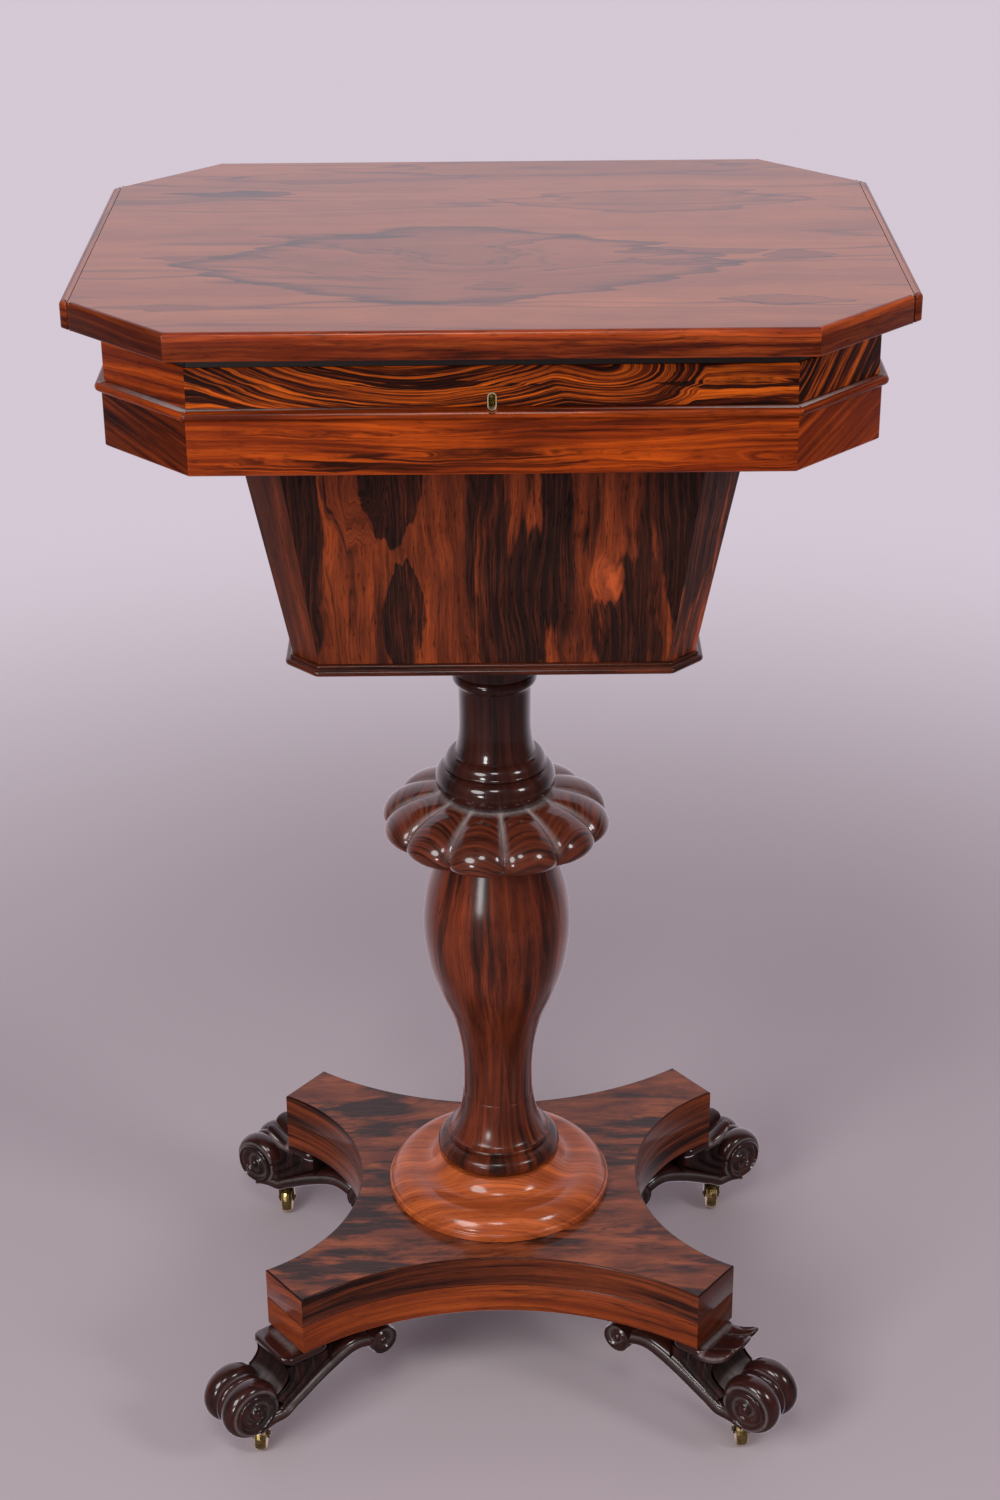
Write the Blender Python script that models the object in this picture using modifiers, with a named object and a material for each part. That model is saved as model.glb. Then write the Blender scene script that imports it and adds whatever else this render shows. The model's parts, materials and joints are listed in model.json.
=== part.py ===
"""Octagonal rosewood work table: hinged lid, fitted case, tapered well, turned column and scroll feet.

Units are metres, +Z is up and the front faces -Y. The origin is on the floor, under the column.
Levels are stacked from the floor up, so a change of one height carries everything above it.
"""

import math
from typing import NamedTuple

import bmesh
import bpy
from mathutils import Matrix, Vector

# Clearances
SEAT_GAP = 0.0003
MITRE_GAP = 0.0002
RUNNING_GAP = 0.0001

# Lid
LID_HALF_WIDTH = 0.2220
LID_HALF_DEPTH = 0.1707
LID_CANT = 0.0586
LID_THICKNESS = 0.0150
LID_ROUNDING = 0.0022
LIPPING_WIDTH = 0.0050

# Case
LID_OVERHANG = 0.0189
CASE_HEIGHT = 0.0663
CASE_WALL = 0.0120
CASE_SKIRT = 0.0030
CASE_FLOOR_THICKNESS = 0.0080
UPPER_FACING = 0.0010
LOWER_STEP = 0.0016
MOULDING_REACH = 0.0051
MOULDING_THICKNESS = 0.0050
MOULDING_DROP = 0.0310
DARK_LIP_HEIGHT = 0.0088

# Tray
TRAY_WALL = 0.0040
TRAY_FLOOR = 0.0030
TRAY_HEADROOM = 0.0050
TRAY_COLUMNS = 3

# Well
WELL_HEIGHT = 0.1443
WELL_TOP_HALF_WIDTH = 0.1405
WELL_TOP_HALF_DEPTH = 0.1020
WELL_TOP_CANT = 0.0240
WELL_TAPER = 0.0264
WELL_FOOT_CANT = 0.0154
WELL_WALL = 0.0080
WELL_BASE_THICKNESS = 0.0059
WELL_BASE_REACH = 0.0045

# Column
CAPITAL_HEIGHT = 0.0307
CAPITAL_RADIUS = 0.0440
CAPITAL_FLANGE = 0.0090
NECK_HEIGHT = 0.0805
NECK_RING_HEIGHT = 0.0194
NECK_LIP_HEIGHT = 0.0037
NECK_RADIUS = 0.0215
NECK_BEAD_RADIUS = 0.0254
NECK_LIP_RADIUS = 0.0308
NECK_RING_RADIUS = 0.0363
NECK_TENON_RADIUS = 0.0150
NECK_TENON_LENGTH = 0.0260
COLLAR_HEIGHT = 0.0272
COLLAR_RADIUS = 0.0697
COLLAR_SEAT_RADIUS = 0.0335
COLLAR_RIM_HEIGHT = 0.0077
COLLAR_LOBES = 12
COLLAR_TURN = math.radians(4.5)
COLLAR_GROOVE = 0.0050
COLLAR_STEPS = 96
BALUSTER_HEIGHT = 0.2328
BULB_RADIUS = 0.0456
SHOULDER_RADIUS = 0.0310
WAIST_RADIUS = 0.0221
FLARE_RADIUS = 0.0334
BALUSTER_BEAD_RADIUS = 0.0391
BALUSTER_BEAD_HEIGHT = 0.0125
SPIGOT_RADIUS = 0.0150
SPIGOT_LENGTH = 0.0480
TENON_RADIUS = 0.0190
TENON_LENGTH = 0.0600
PLINTH_HEIGHT = 0.0242
PLINTH_RADIUS = 0.0712
PLINTH_RIM = 0.0042
PLINTH_TOP_RADIUS = 0.0385
TURNING_STEPS = 40

# Base
PLATFORM_HALF_WIDTH = 0.1456
PLATFORM_HALF_DEPTH = 0.1278
PLATFORM_CANT_X = 0.0241
PLATFORM_CANT_Y = 0.0313
PLATFORM_FRONT_HOLLOW = 0.0410
PLATFORM_SIDE_HOLLOW = 0.0557
PLATFORM_THICKNESS = 0.0415
HOLLOW_STEPS = 16

# Feet, measured outward from the platform's cant and up from the floor
FOOT_HEIGHT = 0.0769
FOOT_WIDTH = 0.0390
ROLL_RADIUS = 0.0195
ROLL_REACH = 0.0350
ROLL_CENTRE_HEIGHT = 0.0470
SCROLL_RADIUS = 0.0100
SCROLL_INSET = 0.0610
SCROLL_CENTRE_HEIGHT = 0.0575
FOOT_BLOCK_INSET = 0.0210
FOOT_HOLLOW = 0.0105
TAB_ROOT = 0.0020
TAB_REACH = 0.0245
TAB_RISE = 0.0105
TAB_THICKNESS = 0.0070
WORN_TAB_REACH = 0.0145
WORN_TAB_RISE = 0.0022
WORN_TAB_CORNER = "front_left"

# Casters, which all trail to the back, as after the stand is pulled forward
CASTER_HEADING = (0, -1, 0)
CASTER_REACH = 0.0225
CASTER_TRAIL = 0.0040
CASTER_HEIGHT = 0.0325
CASTER_PLATE_RADIUS = 0.0090
CASTER_PLATE_THICKNESS = 0.0020
CASTER_STEM_RADIUS = 0.0025
CASTER_STEM_LENGTH = 0.0140
WHEEL_RADIUS = 0.0110
WHEEL_WIDTH = 0.0074
AXLE_RADIUS = 0.0015
FORK_CHEEK = 0.0014
FORK_CROWN_RADIUS = 0.0068
FORK_CROWN_THICKNESS = 0.0028

# Hinges
HINGE_END_MARGIN = 0.0101
HINGE_LENGTH = 0.0400
HINGE_LEAF_WIDTH = 0.0110
HINGE_LEAF_THICKNESS = 0.0012
HINGE_BARREL_RADIUS = 0.0026
HINGE_PIN_RADIUS = 0.0013
HINGE_STANDOFF = 0.0032

# Lock
KEYHOLE_WIDTH = 0.0048
KEYHOLE_HEIGHT = 0.0098
KEYHOLE_DROP = 0.0277
KEYHOLE_DEPTH = 0.0050
KEYHOLE_LINING = 0.0006
LOCK_WIDTH = 0.0540
LOCK_HEIGHT = 0.0340
LOCK_DEPTH = 0.0078
LOCK_WALL = 0.0012
STAPLE_SPACING = 0.0240
STAPLE_WIDTH = 0.0040
STAPLE_DEPTH = 0.0044
STAPLE_LENGTH = 0.0085
STAPLE_EYE = 0.0030
LINK_PLATE_THICKNESS = 0.0014
BOLT_THROW = 0.0050
BOLT_PRONG = 0.0022
BOLT_POST = 0.0030
BOLT_BAR_HEIGHT = 0.0040
SLOT_CLEARANCE = 0.0007

# Levels, from the floor up
PLATFORM_BOTTOM = FOOT_HEIGHT
PLATFORM_TOP = PLATFORM_BOTTOM + PLATFORM_THICKNESS
PLINTH_BOTTOM = PLATFORM_TOP + SEAT_GAP
PLINTH_TOP = PLINTH_BOTTOM + PLINTH_HEIGHT
BALUSTER_BOTTOM = PLINTH_TOP + SEAT_GAP
BALUSTER_TOP = BALUSTER_BOTTOM + BALUSTER_HEIGHT
COLLAR_BOTTOM = BALUSTER_TOP + SEAT_GAP
COLLAR_TOP = COLLAR_BOTTOM + COLLAR_HEIGHT
NECK_BOTTOM = COLLAR_TOP + SEAT_GAP
NECK_TOP = NECK_BOTTOM + NECK_HEIGHT
CAPITAL_BOTTOM = NECK_TOP + SEAT_GAP
CAPITAL_TOP = CAPITAL_BOTTOM + CAPITAL_HEIGHT
WELL_BASE_BOTTOM = CAPITAL_TOP + SEAT_GAP
WELL_BASE_TOP = WELL_BASE_BOTTOM + WELL_BASE_THICKNESS
WELL_BOTTOM = WELL_BASE_TOP + SEAT_GAP
WELL_TOP = WELL_BOTTOM + WELL_HEIGHT
CASE_FLOOR_BOTTOM = WELL_TOP + SEAT_GAP
CASE_FLOOR_TOP = CASE_FLOOR_BOTTOM + CASE_FLOOR_THICKNESS
CASE_BOTTOM = CASE_FLOOR_BOTTOM - CASE_SKIRT
CASE_TOP = CASE_BOTTOM + CASE_HEIGHT
LID_BOTTOM = CASE_TOP + SEAT_GAP
LID_TOP = LID_BOTTOM + LID_THICKNESS

# Joint axes
HINGE_Y = LID_HALF_DEPTH - LID_OVERHANG + HINGE_STANDOFF
LID_AXIS = Vector((0, HINGE_Y, LID_BOTTOM))
BOLT_ORIGIN = Vector((0, -(LID_HALF_DEPTH - LID_OVERHANG), CASE_TOP))

SIDES = ("front", "front_right", "right", "back_right", "back", "back_left", "left", "front_left")
CORNERS = {"front_left": (-1, -1), "front_right": (1, -1), "back_left": (-1, 1), "back_right": (1, 1)}
SMOOTH_ANGLE = math.radians(35)

ROSEWOOD = ("rosewood", (0.16, 0.045, 0.018), 0.25, 0.0)
DARK_ROSEWOOD = ("dark_rosewood", (0.055, 0.018, 0.012), 0.22, 0.0)
RED_ROSEWOOD = ("red_rosewood", (0.22, 0.070, 0.028), 0.28, 0.0)
MAHOGANY = ("mahogany", (0.27, 0.095, 0.035), 0.45, 0.0)
BRASS = ("brass", (0.60, 0.42, 0.16), 0.35, 1.0)


class Canted(NamedTuple):
    """A rectangle with its corners cut off at 45 degrees."""

    half_x: float
    half_y: float
    cant: float

    def inset(self, distance):
        """The same shape with every side moved inwards by a distance."""
        return Canted(
            self.half_x - distance,
            self.half_y - distance,
            self.cant - distance * (2 - math.sqrt(2)),
        )

    def points(self):
        """Its corners, anticlockwise from the left end of the front side."""
        x, y, c = self
        return [
            Vector((-x + c, -y)),
            Vector((x - c, -y)),
            Vector((x, -y + c)),
            Vector((x, y - c)),
            Vector((x - c, y)),
            Vector((-x + c, y)),
            Vector((-x, y - c)),
            Vector((-x, -y + c)),
        ]


LID = Canted(LID_HALF_WIDTH, LID_HALF_DEPTH, LID_CANT)
UPPER_FRIEZE = LID.inset(LID_OVERHANG)
LOWER_FRIEZE = UPPER_FRIEZE.inset(-LOWER_STEP)
CASE_OUTER = UPPER_FRIEZE.inset(UPPER_FACING + SEAT_GAP)
CASE_INNER = CASE_OUTER.inset(CASE_WALL)
WELL_HEAD = Canted(WELL_TOP_HALF_WIDTH, WELL_TOP_HALF_DEPTH, WELL_TOP_CANT)
WELL_FOOT = Canted(WELL_TOP_HALF_WIDTH - WELL_TAPER, WELL_TOP_HALF_DEPTH - WELL_TAPER, WELL_FOOT_CANT)
WELL_MOUTH = WELL_HEAD.inset(WELL_WALL)


def clear_scene():
    """Remove every object that the new file starts with."""
    for item in list(bpy.data.objects):
        bpy.data.objects.remove(item, do_unlink=True)


def new_collection(name):
    """A collection linked to the scene."""
    group = bpy.data.collections.new(name)
    bpy.context.scene.collection.children.link(group)
    return group


def finish(spec):
    """The Principled material of a finish, made once."""
    name, color, roughness, metallic = spec
    found = bpy.data.materials.get(name)
    if found:
        return found
    made = bpy.data.materials.new(name)
    made.use_nodes = True
    shader = made.node_tree.nodes["Principled BSDF"]
    shader.inputs["Base Color"].default_value = (*color, 1)
    shader.inputs["Roughness"].default_value = roughness
    shader.inputs["Metallic"].default_value = metallic
    return made


def add_part(name, data, spec):
    """A named object of the part, with its finish."""
    part = bpy.data.objects.new(name, data)
    PARTS.objects.link(part)
    data.materials.clear()
    data.materials.append(finish(spec))
    return part


def add_cutter(name, data):
    """An object that only cuts or joins another one."""
    cutter = bpy.data.objects.new(name, data)
    CUTTERS.objects.link(cutter)
    cutter.hide_render = True
    cutter.display_type = "WIRE"
    return cutter


def boolean(part, other, operation):
    """Cut a part with another object, or join that object to it."""
    step = part.modifiers.new(f"{operation.lower()}_{other.name}", "BOOLEAN")
    step.operation = operation
    step.solver = "EXACT"
    step.object = other


def cut(part, cutter):
    """Take a cutter out of a part."""
    boolean(part, cutter, "DIFFERENCE")


def join(part, other):
    """Join another object to a part."""
    boolean(part, other, "UNION")


def round_edges(part, width, segments, least_angle):
    """Round the edges that are sharper than an angle."""
    step = part.modifiers.new("rounding", "BEVEL")
    step.width = width
    step.segments = segments
    step.limit_method = "ANGLE"
    step.angle_limit = least_angle


def set_origin(part, point):
    """Put a part's origin at a point and leave its shape where it is."""
    part.data.transform(Matrix.Translation(-Vector(point)))
    part.location = point


def mesh_from(build):
    """A mesh made by a function that fills a bmesh."""
    shape = bmesh.new()
    build(shape)
    data = bpy.data.meshes.new("shape")
    shape.to_mesh(data)
    shape.free()
    return data


def baked_mesh(item):
    """The mesh of an object as its modifiers leave it, welded and in world space. The object is removed."""
    bpy.context.view_layer.update()
    shown = item.evaluated_get(bpy.context.evaluated_depsgraph_get())
    data = bpy.data.meshes.new_from_object(shown)
    data.transform(item.matrix_world)
    shape = bmesh.new()
    shape.from_mesh(data)
    bmesh.ops.remove_doubles(shape, verts=shape.verts, dist=1e-6)
    shape.to_mesh(data)
    shape.free()
    bpy.data.objects.remove(item, do_unlink=True)
    return data


def box_mesh(corner):
    """A box whose eight corners come from a function of three signs."""

    def build(shape):
        bmesh.ops.create_cube(shape, size=2)
        for vert in shape.verts:
            vert.co = corner(round(vert.co.x), round(vert.co.y), round(vert.co.z))

    return mesh_from(build)


def block_mesh(low, high):
    """A square box between two corners."""
    return box_mesh(lambda *signs: Vector(b if s > 0 else a for s, a, b in zip(signs, low, high)))


def rod_mesh(radius, start, end, segments=24):
    """A cylinder between two points."""
    start = Vector(start)
    along = Vector(end) - start
    place = Matrix.Translation(start + along / 2) @ along.to_track_quat("Z", "Y").to_matrix().to_4x4()

    def build(shape):
        bmesh.ops.create_cone(
            shape,
            cap_ends=True,
            segments=segments,
            radius1=radius,
            radius2=radius,
            depth=along.length,
            matrix=place,
        )

    return mesh_from(build)


def plate_mesh(outlines, low, high):
    """Flat outlines, filled and given a thickness from one level to another. Inner outlines are holes."""
    curve = bpy.data.curves.new("outline", "CURVE")
    curve.dimensions = "2D"
    curve.fill_mode = "BOTH"
    curve.extrude = (high - low) / 2
    for outline in outlines:
        spline = curve.splines.new("POLY")
        spline.points.add(len(outline) - 1)
        for point, place in zip(spline.points, outline):
            point.co = (place[0], place[1], 0, 1)
        spline.use_cyclic_u = True
    item = bpy.data.objects.new("outline", curve)
    CUTTERS.objects.link(item)
    item.location.z = (low + high) / 2
    return baked_mesh(item)


def turned_mesh(profile, steps, closed=False):
    """A profile of (radius, level) pairs, listed from the top down its outer side, turned about Z."""
    count = len(profile)
    edges = [(i, i + 1) for i in range(count - 1)]
    if closed:
        edges.append((count - 1, 0))
    data = bpy.data.meshes.new("profile")
    data.from_pydata([(r, 0, z) for r, z in profile], edges, [])
    item = bpy.data.objects.new("profile", data)
    CUTTERS.objects.link(item)
    screw = item.modifiers.new("turning", "SCREW")
    screw.axis = "Z"
    screw.steps = steps
    screw.render_steps = steps
    screw.use_merge_vertices = True
    screw.merge_threshold = 1e-5
    screw.use_smooth_shade = True
    made = baked_mesh(item)
    made.shade_smooth()
    made.set_sharp_from_angle(angle=SMOOTH_ANGLE)
    return made


def ring_loft_mesh(sections):
    """A closed moulding: canted outlines at their levels, joined in turn and back to the first."""

    def build(shape):
        loops = [[shape.verts.new((*p, level)) for p in outline.points()] for outline, level in sections]
        for one, two in zip(loops, loops[1:] + loops[:1]):
            for i in range(len(one)):
                j = (i + 1) % len(one)
                shape.faces.new((one[i], one[j], two[j], two[i]))
        bmesh.ops.recalc_face_normals(shape, faces=shape.faces)

    return mesh_from(build)


def solid_loft_mesh(sections):
    """A solid: canted outlines at their levels, joined in turn, with a face on each end."""

    def build(shape):
        loops = [[shape.verts.new((*p, level)) for p in outline.points()] for outline, level in sections]
        for one, two in zip(loops, loops[1:]):
            for i in range(len(one)):
                j = (i + 1) % len(one)
                shape.faces.new((one[i], one[j], two[j], two[i]))
        shape.faces.new(loops[0])
        shape.faces.new(loops[-1])
        bmesh.ops.recalc_face_normals(shape, faces=shape.faces)

    return mesh_from(build)


def arc(centre, radii, start, end, steps):
    """Points on an ellipse about a centre, from one angle to another in degrees."""
    turns = [math.radians(start + (end - start) * k / steps) for k in range(steps + 1)]
    return [(centre[0] + radii[0] * math.cos(t), centre[1] + radii[1] * math.sin(t)) for t in turns]


def smooth_run(points, per_span):
    """A Catmull-Rom curve through points, with its ends held straight."""
    padded = [points[0], *points, points[-1]]
    run = []
    for a, b, c, d in zip(padded, padded[1:], padded[2:], padded[3:]):
        for k in range(per_span):
            t = k / per_span
            weights = (
                -0.5 * t + t**2 - 0.5 * t**3,
                1 - 2.5 * t**2 + 1.5 * t**3,
                0.5 * t + 2 * t**2 - 1.5 * t**3,
                -0.5 * t**2 + 0.5 * t**3,
            )
            run.append(tuple(sum(w * v for w, v in zip(weights, values)) for values in zip(a, b, c, d)))
    return [*run, tuple(points[-1])]


def mitred_board(name, outer_low, inner_low, outer_high, inner_high, side, low, high, spec):
    """One wall of a canted box, mitred to its neighbours. Its low and high outlines may differ."""
    index = SIDES.index(side)
    rings = {
        (-1, -1): outer_low.points(),
        (1, -1): inner_low.points(),
        (-1, 1): outer_high.points(),
        (1, 1): inner_high.points(),
    }

    def corner(along, inward, up):
        ring = rings[inward, up]
        ends = (ring[index], ring[(index + 1) % len(ring)])
        step = (ends[1] - ends[0]).normalized() * MITRE_GAP
        place = ends[0] + step if along < 0 else ends[1] - step
        return Vector((*place, high if up > 0 else low))

    return add_part(name, box_mesh(corner), spec)


def build_lid():
    """The lid board between two lipping strips, all turning on the hinge axis."""
    board_edge = LID_HALF_WIDTH - LIPPING_WIDTH - SEAT_GAP
    lipping_inner = LID_HALF_WIDTH - LIPPING_WIDTH

    def corner_y(x):
        return LID_HALF_WIDTH + LID_HALF_DEPTH - LID_CANT - x

    quarter = [(LID_HALF_WIDTH - LID_CANT, LID_HALF_DEPTH), (board_edge, corner_y(board_edge))]
    right = [(x, -y) for x, y in quarter] + [(x, y) for x, y in reversed(quarter)]
    outline = right + [(-x, y) for x, y in reversed(right)]
    board = add_part("lid_board", plate_mesh([outline], LID_BOTTOM, LID_TOP), ROSEWOOD)
    set_origin(board, LID_AXIS)
    round_edges(board, LID_ROUNDING, 2, math.radians(60))
    for name, sign in (("left", -1), ("right", 1)):
        ends = ((lipping_inner, corner_y(lipping_inner)), (LID_HALF_WIDTH, corner_y(LID_HALF_WIDTH)))
        (x0, y0), (x1, y1) = ends
        strip = [(sign * x0, -y0), (sign * x1, -y1), (sign * x1, y1), (sign * x0, y0)]
        lipping = add_part(f"lid_lipping_{name}", plate_mesh([strip], LID_BOTTOM, LID_TOP), ROSEWOOD)
        set_origin(lipping, LID_AXIS)
    return board


def build_case():
    """The case's eight walls, its veneer facings, its moulding and its floor."""
    rings = (CASE_OUTER, CASE_INNER, CASE_OUTER, CASE_INNER)
    walls = {
        side: mitred_board(f"case_{side}", *rings, side, CASE_BOTTOM, CASE_TOP, MAHOGANY) for side in SIDES
    }
    moulding_top = CASE_TOP - MOULDING_DROP
    moulding_bottom = moulding_top - MOULDING_THICKNESS
    back_face = CASE_OUTER.inset(-SEAT_GAP)
    upper = plate_mesh(
        [UPPER_FRIEZE.points(), back_face.points()], moulding_top + SEAT_GAP, CASE_TOP - DARK_LIP_HEIGHT
    )
    lower = plate_mesh([LOWER_FRIEZE.points(), back_face.points()], CASE_BOTTOM, moulding_bottom - SEAT_GAP)
    nose = UPPER_FRIEZE.inset(-MOULDING_REACH)
    ease = MOULDING_THICKNESS / 4
    moulding = ring_loft_mesh(
        [
            (back_face, moulding_bottom),
            (nose.inset(ease), moulding_bottom),
            (nose, moulding_bottom + ease),
            (nose, moulding_top - ease),
            (nose.inset(ease), moulding_top),
            (back_face, moulding_top),
        ]
    )
    upper_facing = add_part("upper_frieze", upper, ROSEWOOD)
    add_part("lower_frieze", lower, ROSEWOOD)
    nosing = add_part("frieze_moulding", moulding, ROSEWOOD)
    floor = CASE_INNER.inset(SEAT_GAP)
    add_part(
        "case_floor",
        plate_mesh([floor.points(), WELL_MOUTH.points()], CASE_FLOOR_BOTTOM, CASE_FLOOR_TOP),
        MAHOGANY,
    )
    return walls, upper_facing, nosing


def build_tray():
    """The fitted tray: a ring of open compartments round the mouth of the well."""
    outer = CASE_INNER.inset(SEAT_GAP)
    low = CASE_FLOOR_TOP + SEAT_GAP
    high = CASE_TOP - TRAY_HEADROOM
    tray = add_part("work_tray", plate_mesh([outer.points(), WELL_MOUTH.points()], low, high), MAHOGANY)
    mouth = WELL_MOUTH.inset(-TRAY_WALL)
    rim = outer.inset(TRAY_WALL)
    corner_sum = rim.half_x + rim.half_y - rim.cant
    end_reach = min(mouth.half_y, corner_sum - rim.half_x)
    side_reach = min(mouth.half_x - TRAY_WALL, corner_sum - rim.half_y)

    def pockets(reach):
        step = (2 * reach + TRAY_WALL) / TRAY_COLUMNS
        return [(-reach + k * step, -reach + (k + 1) * step - TRAY_WALL) for k in range(TRAY_COLUMNS)]

    bottom = low + TRAY_FLOOR
    top = high + TRAY_WALL
    boxes = []
    for sign in (-1, 1):
        near_x, far_x = sorted((sign * mouth.half_x, sign * rim.half_x))
        near_y, far_y = sorted((sign * mouth.half_y, sign * rim.half_y))
        for a, b in pockets(end_reach):
            boxes.append(((near_x, a), (far_x, b)))
        for a, b in pockets(side_reach):
            boxes.append(((a, near_y), (b, far_y)))
    for number, (a, b) in enumerate(boxes):
        cut(tray, add_cutter(f"tray_pocket_{number}", block_mesh((*a, bottom), (*b, top))))


def build_well():
    """The well's eight tapered boards and its moulded base board."""
    for side in SIDES:
        mitred_board(
            f"well_{side}",
            WELL_FOOT,
            WELL_FOOT.inset(WELL_WALL),
            WELL_HEAD,
            WELL_MOUTH,
            side,
            WELL_BOTTOM,
            WELL_TOP,
            DARK_ROSEWOOD,
        )
    edge = WELL_FOOT.inset(-WELL_BASE_REACH)
    step = WELL_FOOT.inset(-WELL_BASE_REACH / 2)
    ledge = WELL_BASE_BOTTOM + WELL_BASE_THICKNESS * 2 / 3
    base = solid_loft_mesh(
        [(edge, WELL_BASE_BOTTOM), (edge, ledge), (step, ledge), (step, WELL_BASE_TOP)]
    )
    add_part("well_base", base, DARK_ROSEWOOD)


def build_column():
    """The turned pieces of the column, each on the tenon of the next."""
    capital_bore = NECK_TENON_RADIUS + SEAT_GAP
    flange = CAPITAL_TOP - CAPITAL_FLANGE
    cove_size = (CAPITAL_RADIUS - NECK_BEAD_RADIUS, flange - CAPITAL_BOTTOM)
    cove = arc((CAPITAL_RADIUS, CAPITAL_BOTTOM), cove_size, 90, 180, 6)
    capital = [
        (capital_bore, CAPITAL_TOP),
        (CAPITAL_RADIUS, CAPITAL_TOP),
        *cove,
        (capital_bore, CAPITAL_BOTTOM),
    ]
    add_part("column_capital", turned_mesh(capital, TURNING_STEPS, closed=True), DARK_ROSEWOOD)

    bead = (NECK_BEAD_RADIUS - NECK_RADIUS) * 0.9
    shaft_top = NECK_TOP - 2 * bead
    ring_top = NECK_BOTTOM + NECK_RING_HEIGHT
    flare_bottom = ring_top + NECK_LIP_HEIGHT
    socket = SPIGOT_RADIUS + SEAT_GAP
    socket_top = BALUSTER_TOP + SPIGOT_LENGTH + SEAT_GAP
    shaft = smooth_run(
        [
            (NECK_RADIUS + bead * 0.3, shaft_top),
            (NECK_RADIUS, shaft_top - (shaft_top - flare_bottom) * 0.35),
            (NECK_RADIUS + bead * 0.3, shaft_top - (shaft_top - flare_bottom) * 0.75),
            (NECK_LIP_RADIUS, flare_bottom),
        ],
        4,
    )
    neck = [
        (0, NECK_TOP + NECK_TENON_LENGTH),
        (NECK_TENON_RADIUS, NECK_TOP + NECK_TENON_LENGTH),
        (NECK_TENON_RADIUS, NECK_TOP),
        *arc((NECK_RADIUS, NECK_TOP - bead), (NECK_BEAD_RADIUS - NECK_RADIUS, bead), 80, -70, 4),
        *shaft,
        (NECK_LIP_RADIUS, ring_top),
        *arc(
            (NECK_LIP_RADIUS - SEAT_GAP, NECK_BOTTOM + NECK_RING_HEIGHT / 2),
            (NECK_RING_RADIUS - NECK_LIP_RADIUS, NECK_RING_HEIGHT / 2),
            80,
            -90,
            5,
        ),
        (socket, NECK_BOTTOM),
        (socket, socket_top),
        (0, socket_top),
    ]
    add_part("column_neck", turned_mesh(neck, TURNING_STEPS), DARK_ROSEWOOD)
    build_collar(socket)
    build_baluster()


def build_collar(bore):
    """The lobed collar: a turned dome whose lobes are carved out between straight grooves."""
    rim = COLLAR_BOTTOM + COLLAR_RIM_HEIGHT
    reach = COLLAR_RADIUS - COLLAR_SEAT_RADIUS
    dome = arc((COLLAR_SEAT_RADIUS, rim), (reach, COLLAR_TOP - rim), 90, 0, 6)
    curl = arc((COLLAR_RADIUS - reach / 3, rim), (reach / 3, COLLAR_RIM_HEIGHT), 0, -90, 3)
    profile = [
        (bore, COLLAR_TOP),
        *dome,
        *curl[1:],
        (COLLAR_SEAT_RADIUS, COLLAR_BOTTOM),
        (bore, COLLAR_BOTTOM),
    ]
    data = turned_mesh(profile, COLLAR_STEPS, closed=True)
    for vert in data.vertices:
        radius = math.hypot(vert.co.x, vert.co.y)
        out = (radius - COLLAR_SEAT_RADIUS) / reach
        if out <= 0:
            continue
        turn = math.atan2(vert.co.y, vert.co.x)
        hollow = 1 - abs(math.sin(COLLAR_LOBES * turn / 2))
        carved = COLLAR_GROOVE * hollow * math.sqrt(min(out, 1))
        vert.co.x *= 1 - carved / radius
        vert.co.y *= 1 - carved / radius
        if vert.co.z > rim:
            vert.co.z -= carved * (vert.co.z - rim) / (COLLAR_TOP - rim)
    data.transform(Matrix.Rotation(COLLAR_TURN, 4, "Z"))
    add_part("lobed_collar", data, RED_ROSEWOOD)


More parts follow.
